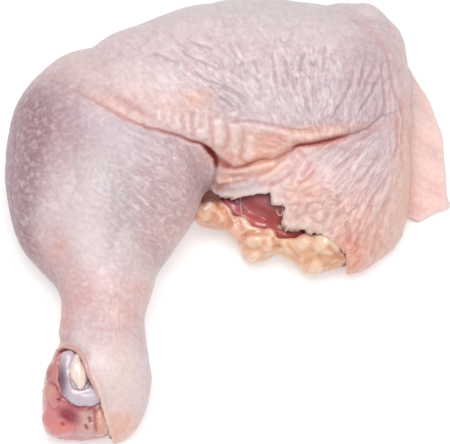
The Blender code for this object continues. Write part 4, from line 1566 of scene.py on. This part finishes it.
@dataclass
class Fat:
    """The lobes of fat along the torn edge."""

    voxel: float = 0.5
    smoothing: int = 6
    last_smoothing: int = 2
    lobules: Wrinkles = Wrinkles((14, -4), (60, 50), Flow(20.0), 3.8, 5.2, 0.36, 41)
    beads: Wrinkles = Wrinkles((14, -4), (60, 50), Flow(70.0), 1.4, 1.8, 0.10, 42)
    inflated: float = 0.4
    cover: float = 1.0
    # Between the lobes, and along their crests: line, height, width.
    grooves: tuple = (
        (((-2.8, 6.5), (-0.9, 4.3), (0.9, 1.6), (1.9, -1.9)), 1.3, 1.1),
        (((2.2, 2.8), (4.3, -0.3), (5.9, -3.4)), 0.8, 0.8),
        (((4.7, -4.7), (7.8, -3.4), (11.5, -3.4), (14.9, -4.3)), 0.7, 0.9),
        (((15.2, -4.3), (15.8, -6.8), (16.1, -9.9)), 1.4, 1.3),
        (((5.6, -7.8), (8.4, -8.2), (11.8, -7.4)), 0.7, 0.8),
        (((18.9, -6.5), (20.8, -9.3), (23.6, -11.5)), 0.6, 0.8),
        (((23.9, -12.7), (28.8, -10.8), (33.8, -11.2), (36.9, -13.0)), 0.7, 0.9),
        (((31.6, -6.8), (34.1, -9.6), (37.2, -11.8)), 0.8, 0.8),
    )
    crests: tuple = (
        (((-5.6, 5.3), (-6.5, 2.8), (-6.5, 0.3)), 0.8, 2.6),
        (((-1.6, 4.3), (-0.3, 2.5), (-0.3, 0.0)), 0.5, 1.6),
        (((2.8, 0.0), (4.7, -2.5), (5.9, -3.7)), 0.5, 1.3),
        (((6.8, -5.9), (9.0, -5.6), (12.1, -5.9)), 1.0, 2.0),
        (((8.7, -9.3), (9.6, -11.2)), 0.9, 1.8),
        (((22.3, -6.2), (26.0, -5.6), (29.4, -6.5), (31.3, -8.1)), 0.9, 2.6),
        (((26.4, -13.0), (30.1, -14.3)), 0.7, 2.4),
    )
    # The width and depth of a full hollow, which gets painted shade, and of a full crest, which
    # gets a painted highlight.
    hollow: tuple[int, float] = (8, 0.3)
    crest: tuple[int, float] = (12, 0.35)
    # Where its lower edge is drawn up, and how far.
    drawn_up: Patches = (
        Patch((18.0, -13.0), (4.5, 5.0), 1.9), Patch((35.5, -17.0), (4.0, 5.0), 1.9),
    )
    tints: ClassVar[dict[str, Patches]] = {
        "yellow": (Patch((28, -8), (14, 9)),),
        "pink": (Patch((7, 0), (8, 6)),),
        "orange": (
            Patch((-4, 2), (7, 8)), Patch((36, -12), (6, 5), 1.1), Patch((23, -12), (5, 4), 0.4),
        ),
        # Painted shade where the fat lies under the skin's torn edge.
        "shade": (
            Patch((-4.2, 8.0), (6.0, 2.3), 1.3, -4), Patch((-6.8, 5.0), (2.2, 2.6), 0.5),
        ),
        "red": (Patch((20, -3.4), (7, 1.6), 0.7, -12),),
    }

    def strokes(self) -> list[Stroke]:
        """The grooves and the crests."""
        found = [Stroke(line, -depth, width) for line, depth, width in self.grooves]
        return found + [Stroke(line, height, width) for line, height, width in self.crests]

    def build(self, outer: BVHTree) -> Thing:
        """Build the fat from its solid, tucked in under the skin's outer face."""
        body = solid_copy("fat", "fat_lobes")
        combined(body, prism(MEAT_WINDOW), "DIFFERENCE")
        blended(body, self.voxel, self.smoothing)
        points, normals, places = seen(body)
        heights, steps = pressed(self.strokes(), places)
        heights *= facing(normals)
        heights += self.lobules.heights(points, places) + self.beads.heights(points, places)
        for patch in self.drawn_up:
            steps[:, 1] += patch.weight(places)
        moved = points + (heights + self.inflated)[:, None] * normals + PLANE.shifts(steps)
        covered = smooth_step(beside(np.array(TORN_EDGE), places).side, 0.0, self.cover)
        set_points(body, tucked(moved, outer, self.cover, covered))
        smoothed(body, self.last_smoothing)
        self.paint(body)
        return body

    def paint(self, body: Thing) -> None:
        """Work out where the fat is yellow, pink or orange, with painted shade under the torn edge
        and in hollows, and painted highlights on its crests.
        """
        _, _, places = seen(body)
        masks = tinted(places, self.tints)
        masks["hollow"] = hollows(body, *self.hollow)
        masks["pale"] = -hollows(body, *self.crest)
        painted(body, masks)


@dataclass
class ShinBone:
    """The shin bone, whose cartilage hooks round the tendon at the ankle."""

    # The height in Y past which it shows, and how far past that it is fully shaped.
    shown: float = -36.0
    fully: float = 3.0
    fine: float = 0.5
    even_rounds: int = 14
    inflated: float = 0.4
    # The width and depth of a full hollow, which gets painted shade.
    hollow: tuple[int, float] = (5, 0.1)
    dimples: Wrinkles = Wrinkles((-45, -48), (20, 20), Flow(60.0), 3.4, 5, 0.20, 51)
    # Purple is a painted shadow down the left side of the cartilage's hook.
    tints: ClassVar[dict[str, Patches]] = {"purple": (Patch((-51.0, -49.5), (2.2, 6.2)),)}

    def near(self, points: Array) -> Array:
        """How far past the cut skin each point is."""
        return self.shown - points[:, 1]

    def build(self) -> Thing:
        """Build the bone from its solid."""
        body = solid_copy("shin_bone", "cartilage")
        refined(body, self.fine, self.near)
        evened(body, self.near, self.even_rounds)
        points, normals, places = seen(body)
        shown = smooth_step(self.near(points), 0.0, self.fully)
        heights = self.dimples.heights(points, places) + self.inflated * shown
        set_points(body, points + heights[:, None] * normals)
        return painted(body, tinted(places, self.tints) | {"hollow": hollows(body, *self.hollow)})


@dataclass
class Tendon:
    """The cream tendon in the hook of the cartilage."""

    under: float = 0.3
    # Place on the leaning plane, radius.
    stations: tuple = (
        ((-45.6, -41.0), 0.7), ((-46.0, -43.6), 1.5), ((-45.5, -46.2), 2.5), ((-45.0, -48.6), 2.4),
        ((-44.9, -50.6), 1.4), ((-45.4, -51.6), 0.5),
    )
    steps: int = 26
    sides: int = 36
    fibres: int = 9
    fibre_depth: float = 0.07
    fibre_wander: float = 0.3
    seed: float = 61

    def build(self, surface: BVHTree) -> Thing:
        """Sweep the tendon along its line under the leg's outer form."""
        rows = [(*place, radius) for place, radius in self.stations]
        bm, centres = bmesh.new(), []
        for i in range(self.steps):
            u, v, radius = eased(rows, i / (self.steps - 1))
            centres.append((seat(surface, (u, v), radius + self.under), radius))
        tube(bm, centres, self.sides)
        body = new_object("ankle_tendon", bm)
        points, normals = points_of(body)
        centre = np.array([c for c, _ in centres]).mean(axis=0)
        turn = np.arctan2((points - centre) @ PLANE.normal, points[:, 0] - centre[0])
        ridges = np.cos(self.fibres * turn + ripple(points * self.fibre_wander, self.seed))
        set_points(body, points + (self.fibre_depth * ridges)[:, None] * normals)
        # Painted shade in the grooves between the fibres.
        return painted(body, {"hollow": -ridges})


@dataclass
class JointTissue:
    """The soft tissue round the cut joint."""

    voxel: float = 0.5
    smoothing: int = 6
    # The width and depth of a full hollow, which gets painted shade.
    hollow: tuple[int, float] = (5, 0.15)
    lumps: Wrinkles = Wrinkles((-46, -56), (40, 40), Flow(30.0), 3.4, 4.2, 0.25, 71)
    beads: Wrinkles = Wrinkles((-46, -56), (40, 40), Flow(80.0), 1.2, 1.6, 0.08, 72)
    inflated: float = 0.3
    slits: tuple = (
        Stroke(((-50.8, -62.0), (-49.9, -63.2)), -0.5, 0.4, Tint.CRIMSON, 0.8),
        Stroke(((-42.2, -60.2), (-41.6, -62.4)), -0.7, 0.4, Tint.CRIMSON, 0.9),
        Stroke(((-43.4, -62.6), (-42.7, -64.4)), -0.7, 0.4, Tint.CRIMSON, 0.9),
        Stroke(((-52.0, -54.6), (-51.2, -55.6)), -0.6, 0.5, Tint.CRIMSON, 1.2),
        Stroke(((-54.4, -49.6), (-52.6, -50.6), (-51.6, -52.6)), -0.5, 0.4, Tint.CRIMSON, 0.6),
        # The dark gap along the lower edge of the cartilage's hook, painted shade.
        Stroke(
            ((-52.4, -52.1), (-49.6, -54.9), (-45.6, -57.4), (-41.9, -57.7), (-38.1, -56.1)),
            -0.4, 0.7, Tint.MAUVE, 0.9,
        ),
        Stroke(((-40.2, -57.6), (-40.4, -61.0), (-39.8, -65.5)), -0.5, 0.5, Tint.CRIMSON, 0.5),
        Stroke(((-54.6, -42.5), (-54.2, -46.0), (-55.0, -49.0)), -0.4, 0.5, Tint.CRIMSON, 0.3),
    )
    # Where the tissue lies lower, between the tendon and the cartilage.
    pocket: Patch = Patch((-43.6, -50.5), (4.2, 3.6), 1.6)
    tints: ClassVar[dict[str, Patches]] = {
        "pale": (Patch((-42.8, -62), (3.2, 6)),),
        "yellow": (Patch((-38.4, -62), (2.6, 7)), Patch((-54.2, -52.6), (2, 2), 0.9)),
        "orange": (Patch((-54, -46.5), (2.4, 6), 0.8),),
        "lilac": (Patch((-43.6, -50.5), (4.2, 3.6)),),
        "red": (Patch((-51, -64), (5, 2.4)),),
        "dark": (Patch((-48.4, -59.8), (3.5, 2.3), 1.1, -30),),
    }

    def build(self) -> Thing:
        """Build the tissue from its solid."""
        body = solid_copy("joint_tissue", "joint_pulp")
        blended(body, self.voxel, self.smoothing)
        points, normals, places = seen(body)
        heights, _ = pressed(self.slits, places)
        heights = heights * facing(normals) + self.inflated
        heights += self.lumps.heights(points, places) + self.beads.heights(points, places)
        heights -= self.pocket.weight(places)
        set_points(body, points + heights[:, None] * normals)
        self.paint(body)
        return body

    def paint(self, body: Thing) -> None:
        """Work out where the tissue is pale, yellow or dark, with painted shade under the
        cartilage's hook and in hollows.
        """
        _, _, places = seen(body)
        masks = tinted(places, self.tints)
        for slit in self.slits:
            chosen, weights = slit.stain(places)
            masks["dark"][chosen] += weights
        masks["hollow"] = hollows(body, *self.hollow)
        painted(body, masks)


@dataclass
class Strands:
    """The thin strand and the curl of membrane over the torn meat, and the rim at the ankle."""

    strand: Line = ((4.7, 7.6), (4.8, 5.6), (5.0, 3.4), (5.2, 1.9))
    strand_radius: float = 0.13
    # A loose curl: middle on the leaning plane, radii, how far it winds, thickness.
    curl: Place = (17.0, 3.6)
    curl_radii: Place = (1.2, 2.0)
    curl_turns: float = 0.8
    curl_radius: float = 0.34
    curl_end: float = 0.62
    curl_points: int = 46
    # The rim of tissue along the cut skin at the ankle.
    rim: Line = (
        (-54.0, -45.4), (-52.9, -42.4), (-51.7, -39.9), (-50.0, -38.6), (-48.0, -38.8),
        (-45.8, -39.7), (-44.2, -41.6), (-43.1, -44.2), (-41.8, -47.8), (-40.2, -51.2),
        (-38.9, -54.8),
    )
    rim_radius: float = 0.8
    rim_depth: float = 0.5
    # How thin a strand is at its tips, and over what share of it a tip runs.
    thinnest: float = 0.45
    tip: float = 0.02
    sides: int = 14

    def sweep(self, surface: BVHTree, line: Array, radius: float, depth: float, name: str) -> Thing:
        """Lay a round strand on a surface.

        Args:
            surface: what it lies on.
            line: its places on the leaning plane.
            radius: its radius.
            depth: how far under the surface its middle runs.
            name: its name.

        Returns:
            The strand.
        """
        bm, stations, count = bmesh.new(), [], len(line) - 1
        for i, place in enumerate(line):
            share = min(max(i / count, self.tip), 1 - self.tip)
            thin = self.thinnest + (1 - self.thinnest) * math.sin(math.pi * share) ** 0.5
            stations.append((seat(surface, tuple(place), depth), radius * thin))
        tube(bm, stations, self.sides)
        return new_object(name, bm)

    def build_strand(self, meat: BVHTree) -> Thing:
        """Build the strand on the meat."""
        line, radius = smooth_line(self.strand, 8), self.strand_radius
        return self.sweep(meat, line, radius, -radius / 2, "white_strand")

    def build_curl(self, under: BVHTree) -> Thing:
        """Build the curl of membrane."""
        turns = np.linspace(0, 2 * math.pi * self.curl_turns, self.curl_points)
        shrink = np.linspace(1, self.curl_end, self.curl_points)
        across = self.curl[0] + self.curl_radii[0] * shrink * np.sin(turns)
        rise = self.curl[1] + self.curl_radii[1] * shrink * np.cos(turns)
        line, radius = np.stack([across, rise], axis=1), self.curl_radius
        return self.sweep(under, line, radius, -radius / 2, "membrane_curl")

    def build_rim(self, leg: BVHTree) -> Thing:
        """Build the rim of tissue along the cut skin."""
        return self.sweep(leg, smooth_line(self.rim), self.rim_radius, self.rim_depth, "ankle_rim")


# Materials.


def srgb(red: int, green: int, blue: int) -> Colour:
    """A colour as it is seen, turned into the light that it reflects."""
    return tuple(
        (c / 255 / 12.92) if c <= 10 else ((c / 255 + 0.055) / 1.055) ** 2.4
        for c in (red, green, blue)
    )


class Socket:
    """A value in a material, on which sums are written as Python expressions."""

    def __init__(self, recipe: Recipe, socket: bpy.types.NodeSocket) -> None:
        """Wrap a node's output."""
        self.recipe = recipe
        self.socket = socket

    def maths(self, operation: str, *values: Socket | float, clamp: bool = False) -> Socket:
        """Add one Math node."""
        settings = {"operation": operation, "use_clamp": clamp}
        return self.recipe.node("ShaderNodeMath", settings, dict(enumerate(values)))

    def __add__(self, other: Socket | float) -> Socket:
        """Add."""
        return self.maths("ADD", self, other)

    def __sub__(self, other: Socket | float) -> Socket:
        """Subtract."""
        return self.maths("SUBTRACT", self, other)

    def __rsub__(self, other: Socket | float) -> Socket:
        """Subtract from a number."""
        return self.maths("SUBTRACT", other, self)

    def __mul__(self, other: Socket | float) -> Socket:
        """Multiply."""
        return self.maths("MULTIPLY", self, other)

    def clamped(self) -> Socket:
        """Keep the value from 0 to 1."""
        return self.maths("ADD", self, 0.0, clamp=True)


# How large the swirls are in which the skin's finest lines wander.
SWIRL_SIZE = 5.0
# How finely noise is detailed at most, how rough it is, and how rough along the flow.
FINE_DETAIL = 3.0
ROUGH = 0.55
FLOW_ROUGH = 0.5
# The middle of a noise, and how irregular beads are.
MIDDLE = 0.5
IRREGULAR = 0.95


class Recipe:
    """One material and the nodes in it."""

    def __init__(self, name: str) -> None:
        """Start an empty material."""
        self.material = bpy.data.materials.new(name)
        self.material.use_nodes = True
        self.tree = self.material.node_tree
        self.shader = self.tree.nodes["Principled BSDF"]
        self.place = self.node("ShaderNodeTexCoord", {}, {}, "Object")

    def node(self, kind: str, settings: dict, inputs: dict, output: str | int = 0) -> Socket:
        """Add one node.

        Args:
            kind: the node's type.
            settings: its settings.
            inputs: the values or links of its sockets, by name or number.
            output: which of its outputs is wanted.

        Returns:
            The output.
        """
        made = self.tree.nodes.new(kind)
        for key, value in settings.items():
            setattr(made, key, value)
        self.feed(made, inputs)
        return Socket(self, made.outputs[output])

    def feed(self, made: bpy.types.Node, inputs: dict) -> None:
        """Set or link a node's sockets."""
        for key, value in inputs.items():
            if isinstance(value, Socket):
                self.tree.links.new(value.socket, made.inputs[key])
            else:
                made.inputs[key].default_value = value

    def mask(self, name: str) -> Socket:
        """A mask that is stored on the mesh."""
        return self.node("ShaderNodeAttribute", {"attribute_name": name}, {}, "Fac")

    def cloud(self, spots: Socket, scale: float, detail: float, rough: float) -> Socket:
        """Soft noise round 0.5."""
        values = {"Vector": spots, "Scale": scale, "Detail": detail, "Roughness": rough}
        return self.node("ShaderNodeTexNoise", {}, values, "Fac")

    def noise(self, size: float, detail: float = 2.0) -> Socket:
        """Soft noise round 0.5, with spots of this size in millimetres."""
        return self.cloud(self.place, 1 / (size * MM), detail, ROUGH)

    def vector(self, operation: str, *values: Socket | Point) -> Socket:
        """Add one Vector Math node."""
        return self.node("ShaderNodeVectorMath", {"operation": operation}, dict(enumerate(values)))

    def along(self, across: float, along: float, stray: float) -> Socket:
        """Places along the flow that is stored on the mesh.

        Args:
            across: how far apart its lines are, in millimetres.
            along: how long they are.
            stray: how far they wander.

        Returns:
            The places, counted in spots of that size.
        """
        way = self.node("ShaderNodeAttribute", {"attribute_name": "flow"}, {}, "Vector")
        values = {"Vector": self.place, "Scale": 1 / (SWIRL_SIZE * MM), "Detail": 2.0}
        swirl = self.node("ShaderNodeTexNoise", {}, values, "Color")
        wander = self.vector("MULTIPLY_ADD", swirl, (stray,) * 3, (-stray / 2,) * 3)
        spots = (1 / across, 1 / along, 1 / along)
        return self.vector("MULTIPLY", self.vector("ADD", way, wander), spots)

    def beads(self, spots: Socket, sharp: float) -> Socket:
        """Lines between beads: 1 on a line, falling off sharply."""
        values = {"Vector": spots, "Scale": 1.0, "Randomness": IRREGULAR}
        settings = {"feature": "DISTANCE_TO_EDGE"}
        edge = self.node("ShaderNodeTexVoronoi", settings, values, "Distance")
        return (1 - edge * sharp).clamped()

    def soft(self, spots: Socket) -> Socket:
        """Soft noise round 0.5 at these spots."""
        return self.cloud(spots, 1.0, 2.0, FLOW_ROUGH)

    def creases(self, spots: Socket, sharp: float) -> Socket:
        """Wandering lines: 1 on a line, falling off sharply."""
        away = self.soft(spots) - MIDDLE
        return (1 - away.maths("ABSOLUTE", away) * sharp).clamped()

    def mix(self, share: Socket | float, first: Socket | Colour, second: Socket | Colour) -> Socket:
        """Blend two colours."""
        colours = [c if isinstance(c, Socket) else (*c, 1.0) for c in (first, second)]
        inputs = {0: share, 6: colours[0], 7: colours[1]}
        return self.node("ShaderNodeMix", {"data_type": "RGBA"}, inputs, 2)

    def bump(self, height: Socket, distance: float, strength: float = 1.0) -> Socket:
        """Fine relief of this height in millimetres."""
        values = {"Height": height, "Distance": distance * MM, "Strength": strength}
        return self.node("ShaderNodeBump", {}, values, "Normal")


@dataclass(frozen=True)
class Wetness:
    """How wet and translucent a finish is."""

    roughness: float
    spread: float
    coat: float
    coat_roughness: float
    flesh: float
    flesh_radius: Point
    flesh_scale: float
    # How thick the film of water is at its thickest, and how much the noise thins it.
    film: float = 1.2
    film_loss: float = -0.5

    def apply(self, recipe: Recipe, damp: Socket) -> None:
        """Set the shader's gloss and depth.

        Args:
            recipe: the material.
            damp: noise from 0 to 1 that varies the gloss.
        """
        rough = damp * self.spread + (self.roughness - self.spread / 2)
        film = (damp * self.film_loss + self.film).clamped() * self.coat
        values = {
            "Roughness": rough,
            "Coat Weight": film,
            "Coat Roughness": self.coat_roughness,
            "Subsurface Weight": self.flesh,
            "Subsurface Radius": self.flesh_radius,
            "Subsurface Scale": self.flesh_scale,
        }
        recipe.feed(recipe.shader, values)


@dataclass(frozen=True)
class SkinFinish:
    """Raw skin: pale pink over the flesh, mauve where thin and partly as painted shade at the
    drumstick's edge, orange in the folds, with painted shade in hollows and creases and painted
    highlights on ridges.
    """

    base: Colour = srgb(218, 199, 201)
    tints: tuple = (
        (Tint.GREY, srgb(212, 203, 206)),
        (Tint.SMOKE, srgb(186, 174, 179)),
        (Tint.LAVENDER, srgb(205, 189, 205)),
        (Tint.MAUVE, srgb(154, 114, 126)),
        (Tint.CREAM, srgb(238, 212, 194)),
        (Tint.BLUSH, srgb(212, 160, 158)),
        (Tint.PEACH, srgb(234, 182, 162)),
        (Tint.AMBER, srgb(224, 138, 104)),
        (Tint.PALE, srgb(236, 222, 222)),
        (Tint.ROSE, srgb(255, 214, 206)),
    )
    # The deep reds of the creases and of the corner pit, partly painted shade, mixed last.
    deep_tints: tuple = (
        (Tint.CRIMSON, srgb(166, 56, 44)),
        (Tint.MAROON, srgb(126, 30, 30)),
    )
    # Darker and lighter tones for the random mottle; the darker one is also painted shade in
    # hollows, and the lighter one a painted highlight on ridges and the colour of the flecks.
    hollow: Colour = srgb(190, 152, 156)
    ridge: Colour = srgb(240, 226, 224)
    furrow: Colour = srgb(176, 142, 150)
    dot: Colour = srgb(240, 226, 222)
    inner: Colour = srgb(230, 176, 150)
    vein: Colour = srgb(196, 158, 166)
    wetness: Wetness = Wetness(
        roughness=0.52, spread=0.20, coat=0.25, coat_roughness=0.3,
        flesh=0.4, flesh_radius=(1.0, 0.4, 0.25), flesh_scale=0.0022,
    )
    # Patterns: their sizes in millimetres, and the level of their noise from which they show.
    blotch_size: float = 8.0
    blotch_from: float = 0.48
    mottle_size: float = 1.4
    mottle_share: float = 1.2
    # Along the flow: how wide, how long, how far they stray. Then how sharp they are.
    flecks: Point = (1.3, 3.2, 1.0)
    fleck_from: float = 0.52
    fleck_sharp: float = 6
    beads: Point = (1.0, 1.7, 1.6)
    bead_sharp: float = 4.5
    creases: Point = (2.6, 6.5, 2.6)
    crease_sharp: float = 9.0
    # Where beads show: the size of their patches, how sharp those are, and how many are without.
    bead_patches: Point = (4.0, 2.2, 0.55)
    # How much of each colour shows.
    fleck_share: float = 0.6
    form_share: float = 0.35
    line_share: float = 0.7
    furrow_share: float = 0.6
    dot_share: float = 0.35
    inner_share: float = 0.85
    # The finest relief: size and height of the grain, depth of furrows, all in all.
    grain_size: float = 0.5
    grain_height: float = 0.5
    furrow_depth: float = 1.6
    least_furrow: float = 0.1
    relief: Place = (0.14, 0.9)
    damp_size: float = 3.0

    def material(self) -> bpy.types.Material:
        """Make the material."""
        recipe = Recipe("raw_skin")
        mix, mask, noise_of = recipe.mix, recipe.mask, recipe.noise
        blotches = noise_of(self.blotch_size, FINE_DETAIL) - self.blotch_from
        colour = mix(blotches, self.base, self.vein)
        for tint, shade in self.tints:
            colour = mix(mask(tint.value), colour, shade)
        mottle = noise_of(self.mottle_size, FINE_DETAIL)
        colour = mix((mottle - MIDDLE) * self.mottle_share, colour, self.hollow)
        colour = mix((MIDDLE - mottle) * self.mottle_share, colour, self.ridge)
        flecks = recipe.soft(recipe.along(*self.flecks)) - self.fleck_from
        flecks = (flecks * self.fleck_sharp).clamped() * mask("fleck") * self.fleck_share
        colour = mix(flecks, colour, self.ridge)
        # Painted shade in hollows and a painted highlight on ridges.
        colour = mix(mask("hollow") * self.form_share, colour, self.hollow)
        colour = mix(mask("ridge") * self.form_share, colour, self.ridge)
        beads = recipe.beads(recipe.along(*self.beads), self.bead_sharp)
        creases = recipe.creases(recipe.along(*self.creases), self.crease_sharp)
        patch_size, patch_sharp, bare = self.bead_patches
        patchy = (noise_of(patch_size) * patch_sharp - bare).clamped()
        furrows = beads * patchy * self.line_share + creases * self.line_share
        furrows, crinkle = furrows.clamped(), mask("crinkle")
        colour = mix(furrows * crinkle * self.furrow_share, colour, self.furrow)
        colour = mix(mask("dots") * self.dot_share, colour, self.dot)
        # Deep reds in the creases and the corner pit, partly painted shade.
        for tint, shade in self.deep_tints:
            colour = mix(mask(tint.value), colour, shade)
        colour = mix(mask("inside") * self.inner_share, colour, self.inner)
        depths = furrows * (crinkle * self.furrow_depth + self.least_furrow)
        bumps = recipe.bump(noise_of(self.grain_size) * self.grain_height - depths, *self.relief)
        recipe.feed(recipe.shader, {"Base Color": colour, "Normal": bumps})
        self.wetness.apply(recipe, noise_of(self.damp_size))
        return recipe.material


WET = Wetness(
    roughness=0.34, spread=0.16, coat=0.6, coat_roughness=0.12,
    flesh=0.3, flesh_radius=(1.0, 0.35, 0.25), flesh_scale=0.0018,
)


@dataclass(frozen=True)
class FleshFinish:
    """Wet flesh under the skin: one base colour, mottled, with tints where its masks say."""

    name: str
    base: Colour
    mottle: Colour
    # Each mask, its colour, and how much of that shows.
    tints: tuple[tuple[str, Colour, float], ...] = ()
    mottle_size: float = 1.0
    mottle_from: float = 0.42
    mottle_share: float = 1.2
    bump_size: float = 0.6
    bump_height: float = 0.04
    damp_size: float = 2.2
    wetness: Wetness = WET

    def material(self) -> bpy.types.Material:
        """Make the material."""
        recipe = Recipe(self.name)
        spots = recipe.noise(self.mottle_size, FINE_DETAIL) - self.mottle_from
        colour = recipe.mix(spots * self.mottle_share, self.base, self.mottle)
        for mask, shade, share in self.tints:
            colour = recipe.mix(recipe.mask(mask) * share, colour, shade)
        bumps = recipe.bump(recipe.noise(self.bump_size, FINE_DETAIL), self.bump_height)
        recipe.feed(recipe.shader, {"Base Color": colour, "Normal": bumps})
        self.wetness.apply(recipe, recipe.noise(self.damp_size))
        return recipe.material


MEAT_FINISH = FleshFinish(
    "dark_meat",
    base=srgb(190, 103, 101),
    mottle=srgb(190, 110, 104),
    tints=(
        ("purple", srgb(166, 94, 108), 0.6),
        ("red", srgb(168, 62, 50), 0.85),
        # A painted highlight.
        ("pale", srgb(200, 142, 152), 0.6),
        # Painted shade in hollows, then under the skin's torn edge.
        ("hollow", srgb(140, 60, 62), 0.4),
        ("shade", srgb(106, 42, 56), 0.8),
    ),
    mottle_size=2.4, bump_size=0.8, bump_height=0.10,
)
FAT_FINISH = FleshFinish(
    "chicken_fat",
    base=srgb(222, 172, 142),
    mottle=srgb(238, 202, 170),
    tints=(
        ("yellow", srgb(226, 180, 138), 0.8),
        ("pink", srgb(222, 162, 142), 0.7),
        ("orange", srgb(210, 144, 108), 0.85),
        # A painted highlight on the crests.
        ("pale", srgb(246, 218, 196), 0.6),
        ("red", srgb(196, 100, 82), 0.8),
        # Painted shade in hollows, then under the skin's torn edge.
        ("hollow", srgb(204, 134, 102), 0.45),
        ("shade", srgb(96, 36, 34), 0.95),
    ),
    mottle_size=2.0, bump_size=0.7, bump_height=0.08,
)
CARTILAGE_FINISH = FleshFinish(
    "cartilage",
    base=srgb(201, 187, 196),
    mottle=srgb(214, 202, 210),
    # A painted shadow down the hook's left side, and painted shade in hollows.
    tints=(("purple", srgb(112, 72, 92), 0.95), ("hollow", srgb(176, 152, 174), 0.5)),
    mottle_size=3.0, bump_size=0.9, bump_height=0.06,
)
TENDON_FINISH = FleshFinish(
    "tendon",
    base=srgb(242, 224, 214),
    mottle=srgb(248, 236, 228),
    # Painted shade between the fibres.
    tints=(("hollow", srgb(222, 184, 176), 0.35),),
    mottle_size=1.4,
    bump_height=0.05,
)
PULP_FINISH = FleshFinish(
    "joint_pulp",
    base=srgb(208, 134, 136),
    mottle=srgb(214, 148, 146),
    tints=(
        ("pale", srgb(206, 172, 166), 0.85),
        ("yellow", srgb(212, 166, 142), 0.85),
        ("orange", srgb(186, 134, 126), 0.8),
        # Painted shade in hollows.
        ("hollow", srgb(172, 86, 90), 0.5),
        ("lilac", srgb(206, 184, 192), 0.9),
        ("red", srgb(222, 128, 118), 0.7),
        # Its own dark red, and partly painted shade in its cuts and under the cartilage.
        ("dark", srgb(146, 34, 58), 0.95),
    ),
    mottle_size=1.8,
    mottle_share=1.4,
    bump_size=0.7,
    bump_height=0.08,
)
MEMBRANE_FINISH = FleshFinish("membrane", srgb(216, 168, 160), srgb(244, 226, 220))
RIM_FINISH = FleshFinish("joint_rim", srgb(212, 166, 162), srgb(222, 180, 174))


# The studio.


@dataclass(frozen=True)
class Lamp:
    """A soft square light."""

    name: str
    direction: Point
    distance: float
    size: float
    power: float
    colour: Colour = (1.0, 1.0, 1.0)

    def place(self, centre: Vector) -> None:
        """Hang the lamp so that it faces the leg."""
        light = bpy.data.lights.new(self.name, "AREA")
        light.size = self.size
        light.energy = self.power
        light.color = self.colour
        made = bpy.data.objects.new(self.name, light)
        away = Vector(self.direction).normalized()
        made.location = centre + away * self.distance
        made.rotation_euler = away.to_track_quat("Z", "Y").to_euler()
        bpy.context.scene.collection.objects.link(made)


@dataclass(frozen=True)
class Studio:
    """A plain pale floor, soft light and the camera."""

    floor_size: float = 6.0
    floor_colour: Colour = (0.6, 0.6, 0.6)
    floor_roughness: float = 0.9
    white: tuple = (1.0, 1.0, 1.0, 1.0)
    sky: float = 0.42
    glow: float = 0.46
    sensor: float = 36.0
    lamps: tuple[Lamp, ...] = (
        Lamp("key_lamp", (-0.05, -0.12, 0.98), 1.1, 0.6, 8.6),
        Lamp("front_lamp", (0.30, -0.7, 0.7), 1.4, 0.5, 2.0),
    )

    def floor(self) -> Thing:
        """Make the floor that the leg rests on."""
        bm = bmesh.new()
        bmesh.ops.create_grid(bm, x_segments=1, y_segments=1, size=self.floor_size / 2 / MM)
        made = new_object("floor", bm)
        recipe = Recipe("floor")
        values = {
            "Base Color": (*self.floor_colour, 1.0),
            "Roughness": self.floor_roughness,
            "Emission Color": self.white,
            "Emission Strength": self.glow,
        }
        recipe.feed(recipe.shader, values)
        made.data.materials.append(recipe.material)
        return made

    def camera(self) -> None:
        """Set the camera where the leaning plane is seen from."""
        data = bpy.data.cameras.new("camera")
        distance = PLANE.eye * MM
        data.sensor_width = self.sensor
        data.lens = self.sensor * distance / (PICTURE_WIDTH * MM_PER_PIXEL * MM)
        made = bpy.data.objects.new("camera", data)
        back = Vector(PLANE.normal)
        made.location = Vector(FRAME_SHIFT) * MM + back * distance
        made.rotation_euler = back.to_track_quat("Z", "Y").to_euler()
        bpy.context.scene.collection.objects.link(made)
        bpy.context.scene.camera = made

    def build(self) -> Thing:
        """Set up the whole studio, and return its floor."""
        world = bpy.data.worlds.new("studio")
        world.use_nodes = True
        sky = world.node_tree.nodes["Background"].inputs
        sky["Strength"].default_value = self.sky
        sky["Color"].default_value = self.white
        bpy.context.scene.world = world
        bpy.context.scene.view_settings.view_transform = "Standard"
        centre = Vector(FRAME_SHIFT) * MM
        for lamp in self.lamps:
            lamp.place(centre)
        self.camera()
        return self.floor()


# Putting it together.


def finished(piece: Thing, material: bpy.types.Material, node: str | None) -> None:
    """Dress a piece, put it in its place and hide the solid that it replaces.

    Args:
        piece: the piece.
        material: its material.
        node: the solid that it replaces, if any.
    """
    piece.data.materials.clear()
    piece.data.materials.append(material)
    points, _ = points_of(piece)
    low, high = (np.array(corner) / MM for corner in CAD_BOX)
    set_points(piece, np.clip(points + FRAME_SHIFT, low, high))
    piece.data.shade_smooth()
    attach(piece, "root")
    if node:
        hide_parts(node)
    log.info("%s: %d points, %d faces", piece.name, len(points), len(piece.data.polygons))


def main() -> None:
    """Build the leg and the studio."""
    logging.basicConfig(level=logging.INFO, format="%(message)s")
    Studio().build()
    skin = Skin()
    finished(skin.build(), SkinFinish().material(), "skin")
    meat = Meat().build()
    meat_tree = tree_of(meat)
    finished(meat, MEAT_FINISH.material(), "meat")
    finished(Fat().build(skin.outer), FAT_FINISH.material(), "fat")
    finished(ShinBone().build(), CARTILAGE_FINISH.material(), "shin_bone")
    finished(JointTissue().build(), PULP_FINISH.material(), "joint_tissue")
    finished(Tendon().build(skin.outer), TENDON_FINISH.material(), "tendon")
    membrane = MEMBRANE_FINISH.material()
    strands = Strands()
    finished(strands.build_strand(meat_tree), membrane, None)
    finished(strands.build_curl(meat_tree), membrane, None)
    finished(strands.build_rim(skin.outer), RIM_FINISH.material(), None)


if __name__ == "__main__":
    main()
